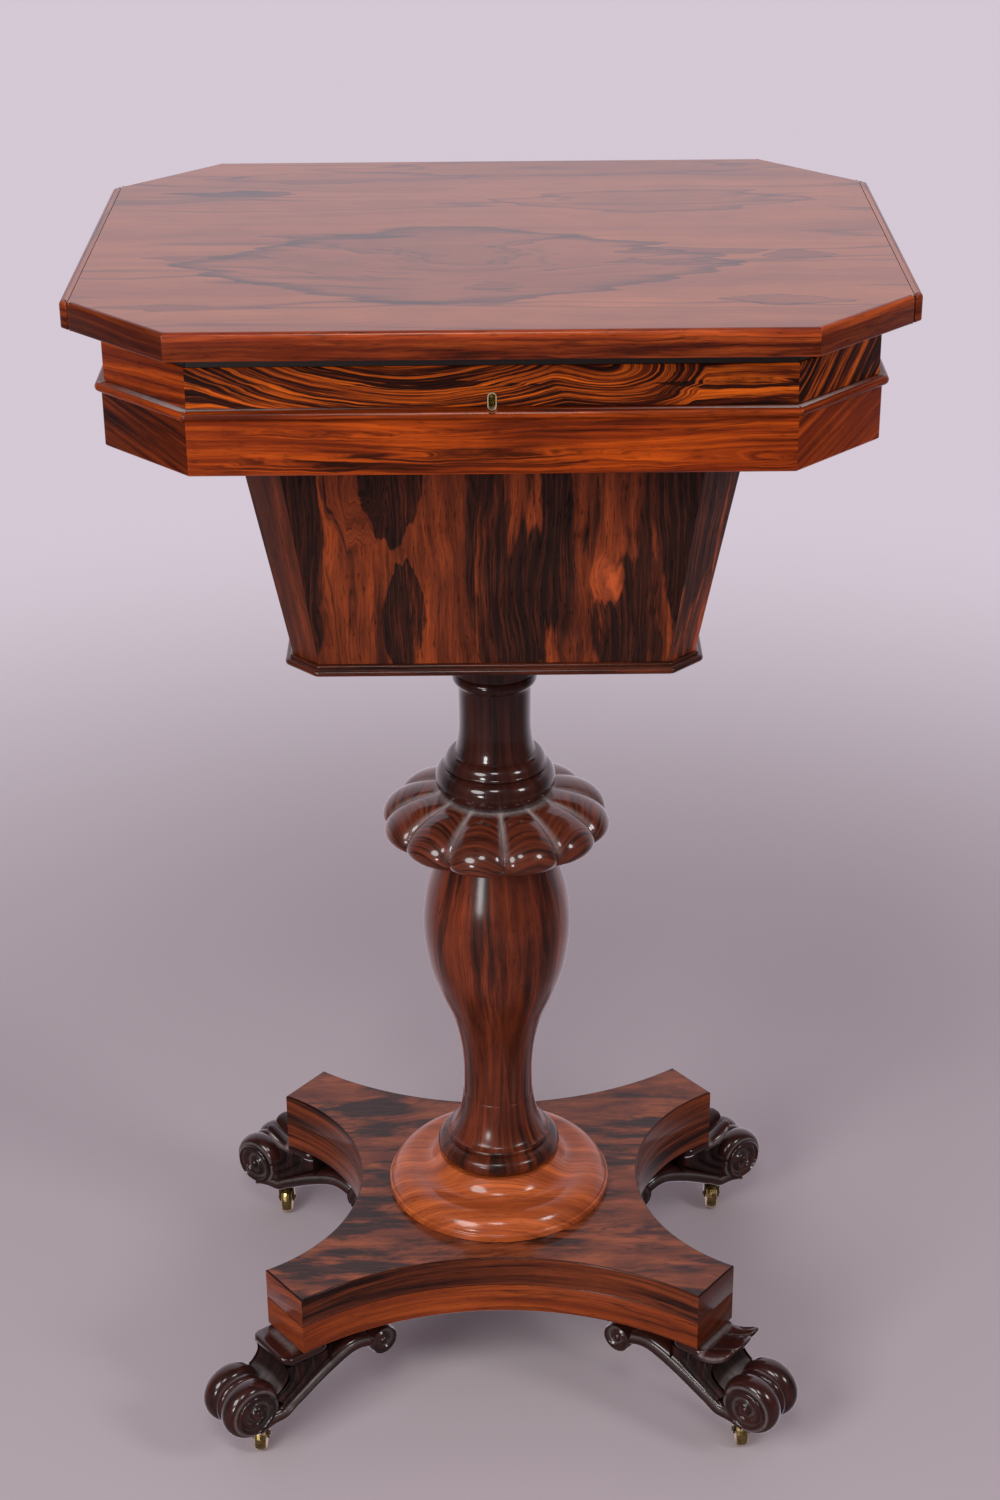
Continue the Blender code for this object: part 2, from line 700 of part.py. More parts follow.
def build_baluster():
    """The vase-shaped baluster with its spigot and tenon, and the ogee ring that it stands on."""

    def level(share):
        return BALUSTER_BOTTOM + BALUSTER_HEIGHT * share

    bead_top = BALUSTER_BOTTOM + BALUSTER_BEAD_HEIGHT
    lip = BALUSTER_BEAD_HEIGHT / 3
    spread = BULB_RADIUS - WAIST_RADIUS
    vase = smooth_run(
        [
            (SHOULDER_RADIUS, BALUSTER_TOP),
            (WAIST_RADIUS + 0.78 * spread, level(0.873)),
            (BULB_RADIUS, level(0.735)),
            (WAIST_RADIUS + 0.86 * spread, level(0.600)),
            (WAIST_RADIUS + 0.31 * spread, level(0.444)),
            (WAIST_RADIUS + 0.01 * spread, level(0.284)),
            (WAIST_RADIUS, level(0.202)),
            (WAIST_RADIUS + 0.10 * spread, level(0.150)),
            (FLARE_RADIUS, bead_top + lip),
        ],
        3,
    )
    profile = [
        (0, BALUSTER_TOP + SPIGOT_LENGTH),
        (SPIGOT_RADIUS, BALUSTER_TOP + SPIGOT_LENGTH),
        (SPIGOT_RADIUS, BALUSTER_TOP),
        *vase,
        (FLARE_RADIUS, bead_top),
        *arc(
            (FLARE_RADIUS - SEAT_GAP, BALUSTER_BOTTOM + BALUSTER_BEAD_HEIGHT / 2),
            (BALUSTER_BEAD_RADIUS - FLARE_RADIUS, BALUSTER_BEAD_HEIGHT / 2),
            80,
            -90,
            5,
        ),
        (TENON_RADIUS, BALUSTER_BOTTOM),
        (TENON_RADIUS, BALUSTER_BOTTOM - TENON_LENGTH),
        (0, BALUSTER_BOTTOM - TENON_LENGTH),
    ]
    add_part("baluster", turned_mesh(profile, TURNING_STEPS), ROSEWOOD)
    bore = TENON_RADIUS + SEAT_GAP
    rim = PLINTH_BOTTOM + PLINTH_RIM
    fall = PLINTH_TOP - rim
    run = PLINTH_RADIUS - PLINTH_TOP_RADIUS
    ogee = smooth_run(
        [
            (PLINTH_TOP_RADIUS, PLINTH_TOP),
            (PLINTH_TOP_RADIUS + 0.22 * run, PLINTH_TOP - 0.34 * fall),
            (PLINTH_TOP_RADIUS + 0.55 * run, PLINTH_TOP - 0.50 * fall),
            (PLINTH_TOP_RADIUS + 0.88 * run, PLINTH_TOP - 0.78 * fall),
            (PLINTH_RADIUS, rim),
        ],
        2,
    )
    plinth = [(bore, PLINTH_TOP), *ogee, (PLINTH_RADIUS, PLINTH_BOTTOM), (bore, PLINTH_BOTTOM)]
    add_part("plinth_ring", turned_mesh(plinth, TURNING_STEPS, closed=True), RED_ROSEWOOD)


def hollow_arc(half_chord, depth, steps):
    """Offsets of a circular hollow across a chord: pairs of (along, inward) from one end to the other."""
    radius = (half_chord**2 + depth**2) / (2 * depth)
    half_turn = math.degrees(math.asin(half_chord / radius))
    return arc((0, depth - radius), (radius, radius), 90 + half_turn, 90 - half_turn, steps)


def build_platform():
    """The four-armed platform: a canted rectangle with a circular hollow in each side."""
    front = hollow_arc(PLATFORM_HALF_WIDTH - PLATFORM_CANT_X, PLATFORM_FRONT_HOLLOW, HOLLOW_STEPS)
    side = hollow_arc(PLATFORM_HALF_DEPTH - PLATFORM_CANT_Y, PLATFORM_SIDE_HOLLOW, HOLLOW_STEPS)
    outline = [(along, -PLATFORM_HALF_DEPTH + deep) for along, deep in front]
    outline += [(PLATFORM_HALF_WIDTH - deep, along) for along, deep in side]
    outline += [(-along, PLATFORM_HALF_DEPTH - deep) for along, deep in front]
    outline += [(-PLATFORM_HALF_WIDTH + deep, -along) for along, deep in side]
    platform = add_part("base_platform", plate_mesh([outline], PLATFORM_BOTTOM, PLATFORM_TOP), ROSEWOOD)
    bore_top = PLATFORM_TOP + PLATFORM_THICKNESS
    bore = rod_mesh(TENON_RADIUS + SEAT_GAP, (0, 0, 0), (0, 0, bore_top), TURNING_STEPS)
    cut(platform, add_cutter("tenon_bore", bore))


def foot_outline(tab_reach, tab_rise):
    """The scroll bracket seen from its side: outward along X, up along Y, from the cant at the floor."""
    top = FOOT_HEIGHT - SEAT_GAP
    roll = (ROLL_REACH, ROLL_CENTRE_HEIGHT)
    scroll = (-SCROLL_INSET, SCROLL_CENTRE_HEIGHT)
    seat_out = CASTER_REACH + CASTER_PLATE_RADIUS + SEAT_GAP
    seat_in = CASTER_REACH - CASTER_PLATE_RADIUS - SEAT_GAP
    roll_end = -90 - math.degrees(math.asin((ROLL_REACH - seat_out) / ROLL_RADIUS))
    roll_points = arc(roll, (ROLL_RADIUS, ROLL_RADIUS), 155, roll_end, 18)
    scroll_points = arc(scroll, (SCROLL_RADIUS, SCROLL_RADIUS), -35, -270, 14)
    tab_middle = (TAB_ROOT + tab_reach) / 2
    tab_top = smooth_run([(TAB_ROOT, top), (tab_middle, top + tab_rise / 4), (tab_reach, top + tab_rise)], 3)
    tab_under = top - TAB_THICKNESS
    fall = tab_under - roll_points[0][1]
    throat = smooth_run(
        [
            (tab_reach, tab_under + tab_rise),
            (FOOT_HOLLOW, tab_under - 0.3 * fall),
            (FOOT_HOLLOW * 1.1, roll_points[0][1] + 0.15 * fall),
            roll_points[0],
        ],
        3,
    )
    rise = scroll_points[0][1] - CASTER_HEIGHT
    reach = seat_in - scroll_points[0][0]
    underside = smooth_run(
        [
            (seat_in, CASTER_HEIGHT),
            (seat_in - 0.22 * reach, CASTER_HEIGHT + 0.42 * rise),
            (seat_in - 0.50 * reach, CASTER_HEIGHT + 0.90 * rise),
            (seat_in - 0.78 * reach, CASTER_HEIGHT + 1.14 * rise),
            scroll_points[0],
        ],
        3,
    )
    arm_top = scroll_points[-1][1]
    inner_edge = -FOOT_BLOCK_INSET
    arm_span = inner_edge - scroll_points[-1][0]
    upper = smooth_run(
        [
            scroll_points[-1],
            (scroll_points[-1][0] + 0.45 * arm_span, arm_top + 0.0015),
            (inner_edge, arm_top - 0.0025),
        ],
        3,
    )
    return [
        (inner_edge, top),
        *tab_top,
        *throat,
        *roll_points[1:],
        (seat_out, CASTER_HEIGHT),
        *underside,
        *scroll_points[1:],
        *upper[1:],
    ]


def foot_mesh(tab_reach, tab_rise):
    """A foot standing at its platform cant, with the socket for its caster's stem."""
    upright = Matrix(((1, 0, 0, 0), (0, 0, -1, 0), (0, 1, 0, 0), (0, 0, 0, 1)))
    shape = plate_mesh([foot_outline(tab_reach, tab_rise)], -FOOT_WIDTH / 2, FOOT_WIDTH / 2)
    shape.transform(upright)
    foot = bpy.data.objects.new("foot_blank", shape)
    CUTTERS.objects.link(foot)
    bottom = CASTER_HEIGHT - CASTER_PLATE_THICKNESS
    top = CASTER_HEIGHT + CASTER_STEM_LENGTH
    socket = rod_mesh(CASTER_STEM_RADIUS + SEAT_GAP, (CASTER_REACH, 0, bottom), (CASTER_REACH, 0, top), 16)
    cut(foot, add_cutter("stem_socket", socket))
    return baked_mesh(foot)


def fork_mesh():
    """A caster's fork about its swivel axis: crown, stem, two cheeks and the axle riveted through them."""
    crown_top = CASTER_HEIGHT - CASTER_PLATE_THICKNESS - 2 * SEAT_GAP
    crown_bottom = crown_top - FORK_CROWN_THICKNESS
    stem_top = CASTER_HEIGHT + CASTER_STEM_LENGTH - SEAT_GAP
    cheek_inner = WHEEL_WIDTH / 2 + SEAT_GAP
    cheek_outer = cheek_inner + FORK_CHEEK
    boss = 2.2 * AXLE_RADIUS
    cheek_top = crown_bottom + FORK_CROWN_THICKNESS / 2
    half_crown = FORK_CROWN_RADIUS * 0.62
    eye = arc((-CASTER_TRAIL, WHEEL_RADIUS), (boss, boss), 180, 360, 8)
    side = [*eye, (half_crown, cheek_top), (-half_crown, cheek_top)]
    upright = Matrix(((1, 0, 0, 0), (0, 0, -1, 0), (0, 1, 0, 0), (0, 0, 0, 1)))
    fork = bpy.data.objects.new(
        "fork_blank", rod_mesh(FORK_CROWN_RADIUS, (0, 0, crown_bottom), (0, 0, crown_top), 24)
    )
    CUTTERS.objects.link(fork)
    stem = rod_mesh(CASTER_STEM_RADIUS, (0, 0, crown_bottom + FORK_CROWN_THICKNESS / 3), (0, 0, stem_top), 16)
    join(fork, add_cutter("fork_stem", stem))
    for name, low, high in (("near", cheek_inner, cheek_outer), ("far", -cheek_outer, -cheek_inner)):
        cheek = plate_mesh([side], low, high)
        cheek.transform(upright)
        join(fork, add_cutter(f"fork_cheek_{name}", cheek))
    end = cheek_outer + FORK_CHEEK / 2
    axle = rod_mesh(AXLE_RADIUS, (-CASTER_TRAIL, -end, WHEEL_RADIUS), (-CASTER_TRAIL, end, WHEEL_RADIUS), 16)
    join(fork, add_cutter("fork_axle", axle))
    return baked_mesh(fork)


def wheel_mesh():
    """A caster's wheel about its own axle, with a rounded tread."""
    half = WHEEL_WIDTH / 2
    bore = AXLE_RADIUS + RUNNING_GAP
    tread = arc((WHEEL_RADIUS - half / 2, 0), (half / 2, half), 90, -90, 6)
    shape = turned_mesh([(bore, half), *tread, (bore, -half)], 24, closed=True)
    shape.transform(Matrix.Rotation(math.pi / 2, 4, "X"))
    return shape


def plate_ring_mesh():
    """A caster's round plate with the bore for the fork's stem."""
    top = CASTER_HEIGHT - SEAT_GAP
    bottom = top - CASTER_PLATE_THICKNESS
    bore = CASTER_STEM_RADIUS + RUNNING_GAP
    profile = [(bore, top), (CASTER_PLATE_RADIUS, top), (CASTER_PLATE_RADIUS, bottom), (bore, bottom)]
    return turned_mesh(profile, 24, closed=True)


def build_feet():
    """A foot and its caster under each arm of the platform, with the foot turned to face along the arm."""
    shapes = {
        "foot": foot_mesh(TAB_REACH, TAB_RISE),
        "worn_foot": foot_mesh(WORN_TAB_REACH, WORN_TAB_RISE),
        "plate": plate_ring_mesh(),
        "fork": fork_mesh(),
        "wheel": wheel_mesh(),
    }
    for shape in shapes.values():
        shape.shade_smooth()
        shape.set_sharp_from_angle(angle=SMOOTH_ANGLE)
    heading = Vector(CASTER_HEADING)
    caster_turn = math.atan2(heading.y, heading.x)
    for corner, (side_x, side_y) in CORNERS.items():
        foot = "worn_foot" if corner == WORN_TAB_CORNER else "foot"
        out = Vector((side_x * PLATFORM_CANT_Y, side_y * PLATFORM_CANT_X, 0)).normalized()
        foot_turn = math.atan2(out.y, out.x)
        foot_place = Vector(
            (
                side_x * (PLATFORM_HALF_WIDTH - PLATFORM_CANT_X / 2),
                side_y * (PLATFORM_HALF_DEPTH - PLATFORM_CANT_Y / 2),
                0,
            )
        )
        swivel = foot_place + out * CASTER_REACH
        axle = swivel - heading * CASTER_TRAIL + Vector((0, 0, WHEEL_RADIUS))
        for name, shape, place, turn, spec in (
            (f"foot_{corner}", foot, foot_place, foot_turn, DARK_ROSEWOOD),
            (f"caster_plate_{corner}", "plate", swivel, foot_turn, BRASS),
            (f"caster_fork_{corner}", "fork", swivel, caster_turn, BRASS),
            (f"caster_wheel_{corner}", "wheel", axle, caster_turn, BRASS),
        ):
            part = add_part(name, shapes[shape], spec)
            part.location = place
            part.rotation_euler.z = turn


def build_hinges(lid_board, back_wall):
    """Two butt hinges let into the lid's underside and the top of the back wall."""
    third = HINGE_LENGTH / 3
    spacing = CASE_INNER.half_x - CASE_INNER.cant - HINGE_END_MARGIN - HINGE_LENGTH / 2
    web_in = HINGE_BARREL_RADIUS + SEAT_GAP
    leaf_edge = HINGE_Y - web_in
    leaf_inner = leaf_edge - HINGE_LEAF_WIDTH
    bore = HINGE_PIN_RADIUS + RUNNING_GAP
    lid_levels = (LID_BOTTOM + SEAT_GAP, LID_BOTTOM + SEAT_GAP + HINGE_LEAF_THICKNESS)
    case_levels = (CASE_TOP - SEAT_GAP - HINGE_LEAF_THICKNESS, CASE_TOP - SEAT_GAP)
    for name, centre in (("left", -spacing), ("right", spacing)):
        start = centre - HINGE_LENGTH / 2
        end = centre + HINGE_LENGTH / 2
        spans = {
            "lid": [(start + third + SEAT_GAP, end - third - SEAT_GAP)],
            "case": [(start, start + third), (end - third, end)],
        }
        for side, (low, high) in (("lid", lid_levels), ("case", case_levels)):
            title = f"hinge_{name}_{side}_leaf"
            leaf = add_part(title, block_mesh((start, leaf_inner, low), (end, leaf_edge, high)), BRASS)
            for number, (a, b) in enumerate(spans[side]):
                web = block_mesh((a, leaf_edge - SEAT_GAP, low), (b, HINGE_Y, high))
                barrel = rod_mesh(HINGE_BARREL_RADIUS, (a, HINGE_Y, LID_BOTTOM), (b, HINGE_Y, LID_BOTTOM), 20)
                join(leaf, add_cutter(f"{title}_web_{number}", web))
                join(leaf, add_cutter(f"{title}_barrel_{number}", barrel))
            ends = ((start - third, HINGE_Y, LID_BOTTOM), (end + third, HINGE_Y, LID_BOTTOM))
            cut(leaf, add_cutter(f"{title}_bore", rod_mesh(bore, *ends, 20)))
            if side == "lid":
                set_origin(leaf, LID_AXIS)
        ends = ((start, HINGE_Y, LID_BOTTOM), (end, HINGE_Y, LID_BOTTOM))
        add_part(f"hinge_{name}_pin", rod_mesh(HINGE_PIN_RADIUS, *ends, 20), BRASS)
        recess = 2 * SEAT_GAP
        lid_pocket = block_mesh(
            (start - SEAT_GAP, leaf_inner - SEAT_GAP, LID_BOTTOM - recess),
            (end + SEAT_GAP, HINGE_Y, lid_levels[1] + SEAT_GAP),
        )
        barrel_pocket = rod_mesh(
            HINGE_BARREL_RADIUS + recess,
            (start - SEAT_GAP, HINGE_Y, LID_BOTTOM),
            (end + SEAT_GAP, HINGE_Y, LID_BOTTOM),
            20,
        )
        wall_pocket = block_mesh(
            (start - SEAT_GAP, leaf_inner - SEAT_GAP, case_levels[0] - SEAT_GAP),
            (end + SEAT_GAP, HINGE_Y, CASE_TOP + recess),
        )
        cut(lid_board, add_cutter(f"hinge_{name}_lid_pocket", lid_pocket))
        cut(lid_board, add_cutter(f"hinge_{name}_barrel_pocket", barrel_pocket))
        cut(back_wall, add_cutter(f"hinge_{name}_wall_pocket", wall_pocket))


def keyhole_outline(width, height, steps=8):
    """An upright slot with round ends, about the origin."""
    radius = width / 2
    rise = height / 2 - radius
    upper = arc((0, rise), (radius, radius), 0, 180, steps)
    lower = arc((0, -rise), (radius, radius), 180, 360, steps)
    return upper + lower


def build_lock(lid_board, front_wall, upper_facing, nosing):
    """The keyhole and its lining, the lock let into the front wall, and the link plate in the lid."""
    face_y = -UPPER_FRIEZE.half_y
    keyhole_z = CASE_TOP - KEYHOLE_DROP
    upright = Matrix.Translation((0, face_y, keyhole_z)) @ Matrix.Rotation(math.pi / 2, 4, "X")
    outer = keyhole_outline(KEYHOLE_WIDTH, KEYHOLE_HEIGHT)
    inner = keyhole_outline(KEYHOLE_WIDTH - 2 * KEYHOLE_LINING, KEYHOLE_HEIGHT - 2 * KEYHOLE_LINING)
    liner = plate_mesh([outer, inner], -KEYHOLE_DEPTH, 0)
    liner.transform(upright)
    add_part("keyhole_liner", liner, BRASS)
    opening = keyhole_outline(KEYHOLE_WIDTH + 2 * SEAT_GAP, KEYHOLE_HEIGHT + 2 * SEAT_GAP)
    hole = plate_mesh([opening], -CASE_WALL, 2 * MOULDING_REACH)
    hole.transform(upright)
    hole_cutter = add_cutter("keyhole_opening", hole)
    for part in (upper_facing, nosing, front_wall):
        cut(part, hole_cutter)

    inner_y = -CASE_INNER.half_y
    lock_back = inner_y - SEAT_GAP
    lock_front = lock_back - LOCK_DEPTH
    lock_top = CASE_TOP - SEAT_GAP
    lock_bottom = lock_top - LOCK_HEIGHT
    half = LOCK_WIDTH / 2
    mortise = block_mesh(
        (-half - SEAT_GAP, lock_front - SEAT_GAP, lock_bottom - SEAT_GAP),
        (half + SEAT_GAP, inner_y + CASE_WALL, CASE_TOP + LOCK_WALL),
    )
    cut(front_wall, add_cutter("lock_mortise", mortise))
    case = add_part(
        "lock_case", block_mesh((-half, lock_front, lock_bottom), (half, lock_back, lock_top)), BRASS
    )
    cavity_back = lock_back - LOCK_WALL
    cavity = block_mesh(
        (-half + LOCK_WALL, lock_front - LOCK_WALL, lock_bottom + LOCK_WALL),
        (half - LOCK_WALL, cavity_back, lock_top - LOCK_WALL),
    )
    cut(case, add_cutter("lock_cavity", cavity))

    staple_y = (lock_front + cavity_back) / 2
    plate_low = LID_BOTTOM + SEAT_GAP
    plate_high = plate_low + LINK_PLATE_THICKNESS
    plate_half_x = STAPLE_SPACING / 2 + 2 * STAPLE_WIDTH
    plate_half_y = STAPLE_DEPTH
    plate = add_part(
        "lock_link_plate",
        block_mesh(
            (-plate_half_x, staple_y - plate_half_y, plate_low),
            (plate_half_x, staple_y + plate_half_y, plate_high),
        ),
        BRASS,
    )
    pocket = block_mesh(
        (-plate_half_x - SEAT_GAP, staple_y - plate_half_y - SEAT_GAP, LID_BOTTOM - LINK_PLATE_THICKNESS),
        (plate_half_x + SEAT_GAP, staple_y + plate_half_y + SEAT_GAP, plate_high + SEAT_GAP),
    )
    cut(lid_board, add_cutter("link_plate_pocket", pocket))
    staple_bottom = plate_low - STAPLE_LENGTH
    eye_low = staple_bottom + (STAPLE_DEPTH - STAPLE_EYE)
    eye_high = eye_low + STAPLE_EYE
    prong_mid = (eye_low + eye_high) / 2
    prong_levels = (prong_mid - BOLT_PRONG / 2, prong_mid + BOLT_PRONG / 2)
    bar_high = staple_bottom - SLOT_CLEARANCE
    bar_low = bar_high - BOLT_BAR_HEIGHT
    bolt_front = lock_front + SEAT_GAP
    bolt_back = cavity_back - SEAT_GAP
    prong_front = staple_y - BOLT_PRONG / 2
    prong_back = staple_y + BOLT_PRONG / 2
    tips = []
    for name, centre in (("left", -STAPLE_SPACING / 2), ("right", STAPLE_SPACING / 2)):
        near = centre - STAPLE_WIDTH / 2
        far = centre + STAPLE_WIDTH / 2
        front = staple_y - STAPLE_DEPTH / 2
        back = staple_y + STAPLE_DEPTH / 2
        staple = block_mesh((near, front, staple_bottom), (far, back, plate_low + LINK_PLATE_THICKNESS / 2))
        join(plate, add_cutter(f"staple_{name}", staple))
        eye = block_mesh(
            (near - STAPLE_WIDTH, staple_y - STAPLE_EYE / 2, eye_low),
            (far + STAPLE_WIDTH, staple_y + STAPLE_EYE / 2, eye_high),
        )
        cut(plate, add_cutter(f"staple_eye_{name}", eye))
        slot = block_mesh(
            (near - SLOT_CLEARANCE, front - SLOT_CLEARANCE, lock_top - 2 * LOCK_WALL),
            (far + SLOT_CLEARANCE, back + SLOT_CLEARANCE, lock_top + LOCK_WALL),
        )
        cut(case, add_cutter(f"staple_slot_{name}", slot))
        tips.append(near - SLOT_CLEARANCE)
    prong_length = BOLT_THROW
    bar_start = tips[0] - prong_length - BOLT_POST
    bar_end = tips[1] - prong_length
    bolt = add_part(
        "lock_bolt", block_mesh((bar_start, bolt_front, bar_low), (bar_end, bolt_back, bar_high)), BRASS
    )
    for number, tip in enumerate(tips):
        root = tip - prong_length
        post = block_mesh(
            (root - BOLT_POST, prong_front, bar_high - BOLT_PRONG), (root, prong_back, prong_levels[1])
        )
        prong = block_mesh(
            (root - BOLT_POST / 2, prong_front, prong_levels[0]), (tip, prong_back, prong_levels[1])
        )
        join(bolt, add_cutter(f"bolt_post_{number}", post))
        join(bolt, add_cutter(f"bolt_prong_{number}", prong))
    set_origin(plate, LID_AXIS)
    set_origin(bolt, BOLT_ORIGIN)


clear_scene()
PARTS = new_collection("work_table")
CUTTERS = new_collection("cutters")
LID_BOARD = build_lid()
WALLS, UPPER_FACING_PART, NOSING = build_case()
build_tray()
build_well()
build_column()
build_platform()
build_feet()
build_hinges(LID_BOARD, WALLS["back"])
build_lock(LID_BOARD, WALLS["front"], UPPER_FACING_PART, NOSING)
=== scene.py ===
"""Looks of an octagonal rosewood work table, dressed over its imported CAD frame.

Units are metres, +Z is up and the front faces -Y. Every new piece is a set of sheets: grids of points worked out
from a formula of two parameters. Each sheet carries its grain, the place of every point along and across the wood.
"""

from __future__ import annotations

import json
import logging
import math
from dataclasses import dataclass, replace
from enum import Enum, IntEnum

import bmesh
import bpy
import numpy as np
from mathutils import Matrix, Vector

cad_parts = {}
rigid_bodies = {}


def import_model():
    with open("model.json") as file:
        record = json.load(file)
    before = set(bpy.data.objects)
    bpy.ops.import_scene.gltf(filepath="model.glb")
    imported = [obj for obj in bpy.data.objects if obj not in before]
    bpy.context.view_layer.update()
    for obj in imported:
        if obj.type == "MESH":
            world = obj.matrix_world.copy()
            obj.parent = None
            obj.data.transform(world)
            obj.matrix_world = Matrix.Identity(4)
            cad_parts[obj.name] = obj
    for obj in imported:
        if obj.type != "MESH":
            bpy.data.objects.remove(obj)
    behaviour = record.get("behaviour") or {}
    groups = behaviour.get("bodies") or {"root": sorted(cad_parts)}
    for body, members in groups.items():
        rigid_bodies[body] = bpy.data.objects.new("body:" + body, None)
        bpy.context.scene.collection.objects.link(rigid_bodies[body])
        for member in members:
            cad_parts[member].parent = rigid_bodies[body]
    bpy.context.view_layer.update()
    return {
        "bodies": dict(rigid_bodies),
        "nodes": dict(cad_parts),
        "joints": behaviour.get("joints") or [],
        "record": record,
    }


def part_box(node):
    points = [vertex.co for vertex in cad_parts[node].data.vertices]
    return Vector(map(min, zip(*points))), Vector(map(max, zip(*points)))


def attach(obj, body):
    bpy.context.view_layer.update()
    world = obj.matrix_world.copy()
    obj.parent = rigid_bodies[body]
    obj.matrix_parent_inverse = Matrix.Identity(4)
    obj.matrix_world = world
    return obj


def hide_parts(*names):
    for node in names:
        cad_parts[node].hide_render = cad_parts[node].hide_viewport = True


LOG = logging.getLogger("work_table")
SHARP_ANGLE = math.radians(38)
WELD = 2e-6
NODE_WELD = 1e-6
HAIR = 1e-5
CLEARANCE = 0.0003
CORNER_STEPS = 3
CAP_BORDER = 0.004
SEED_STEP = 7.31
BAND_SEED = 3.7
VEIN_SEED = 23.1
GRAIN_DEPTH = 0.00003
DARKEST_SHADE = 0.05
WOOD_SPECULAR = 0.12
SIDES = ("front", "front_right", "right", "back_right", "back", "back_left", "left", "front_left")
PLATFORM_HALF = (0.1456, 0.1278)
PLATFORM_CANT = (0.0241, 0.0313)

Array = np.ndarray
Material = bpy.types.Material
Mesh = bpy.types.Mesh
Color = tuple[float, float, float]
Size = tuple[float, float, float]
Pair = tuple[float, float]
Bead = tuple[Pair, Pair, float, float, int]


class Value:
    """A shader socket that arithmetic can be written with."""

    def __init__(self, graph: Graph, socket: bpy.types.NodeSocket) -> None:
        """Keep the socket and the graph that it belongs to."""
        self.graph = graph
        self.socket = socket

    def __add__(self, other: Value | float) -> Value:
        """Sum."""
        return self.graph.math("ADD", self, other)

    __radd__ = __add__

    def __sub__(self, other: Value | float) -> Value:
        """Difference."""
        return self.graph.math("SUBTRACT", self, other)

    def __rsub__(self, other: float) -> Value:
        """Difference from a number."""
        return self.graph.math("SUBTRACT", other, self)

    def __mul__(self, other: Value | float) -> Value:
        """Product."""
        return self.graph.math("MULTIPLY", self, other)

    __rmul__ = __mul__

    def __truediv__(self, other: Value | float) -> Value:
        """Quotient."""
        return self.graph.math("DIVIDE", self, other)

    def __pow__(self, other: Value | float) -> Value:
        """Power."""
        return self.graph.math("POWER", self, other)

    def __abs__(self) -> Value:
        """Size without sign."""
        return self.graph.math("ABSOLUTE", self)

    def most(self, other: Value | float) -> Value:
        """The larger of two values."""
        return self.graph.math("MAXIMUM", self, other)

    def least(self, other: Value | float) -> Value:
        """The smaller of two values."""
        return self.graph.math("MINIMUM", self, other)

    def rise(self, low: float, high: float) -> Value:
        """A smooth step from 0 at low to 1 at high. It falls where low is the larger.

        Args:
            low: the value that gives 0.
            high: the value that gives 1.

        Returns:
            The step.
        """
        start, end, ends = (low, high, (0.0, 1.0)) if low < high else (high, low, (1.0, 0.0))
        node = self.graph.node(
            "MapRange",
            {"interpolation_type": "SMOOTHSTEP"},
            {0: self, 1: start, 2: end, 3: ends[0], 4: ends[1]},
        )
        return Value(self.graph, node.outputs[0])


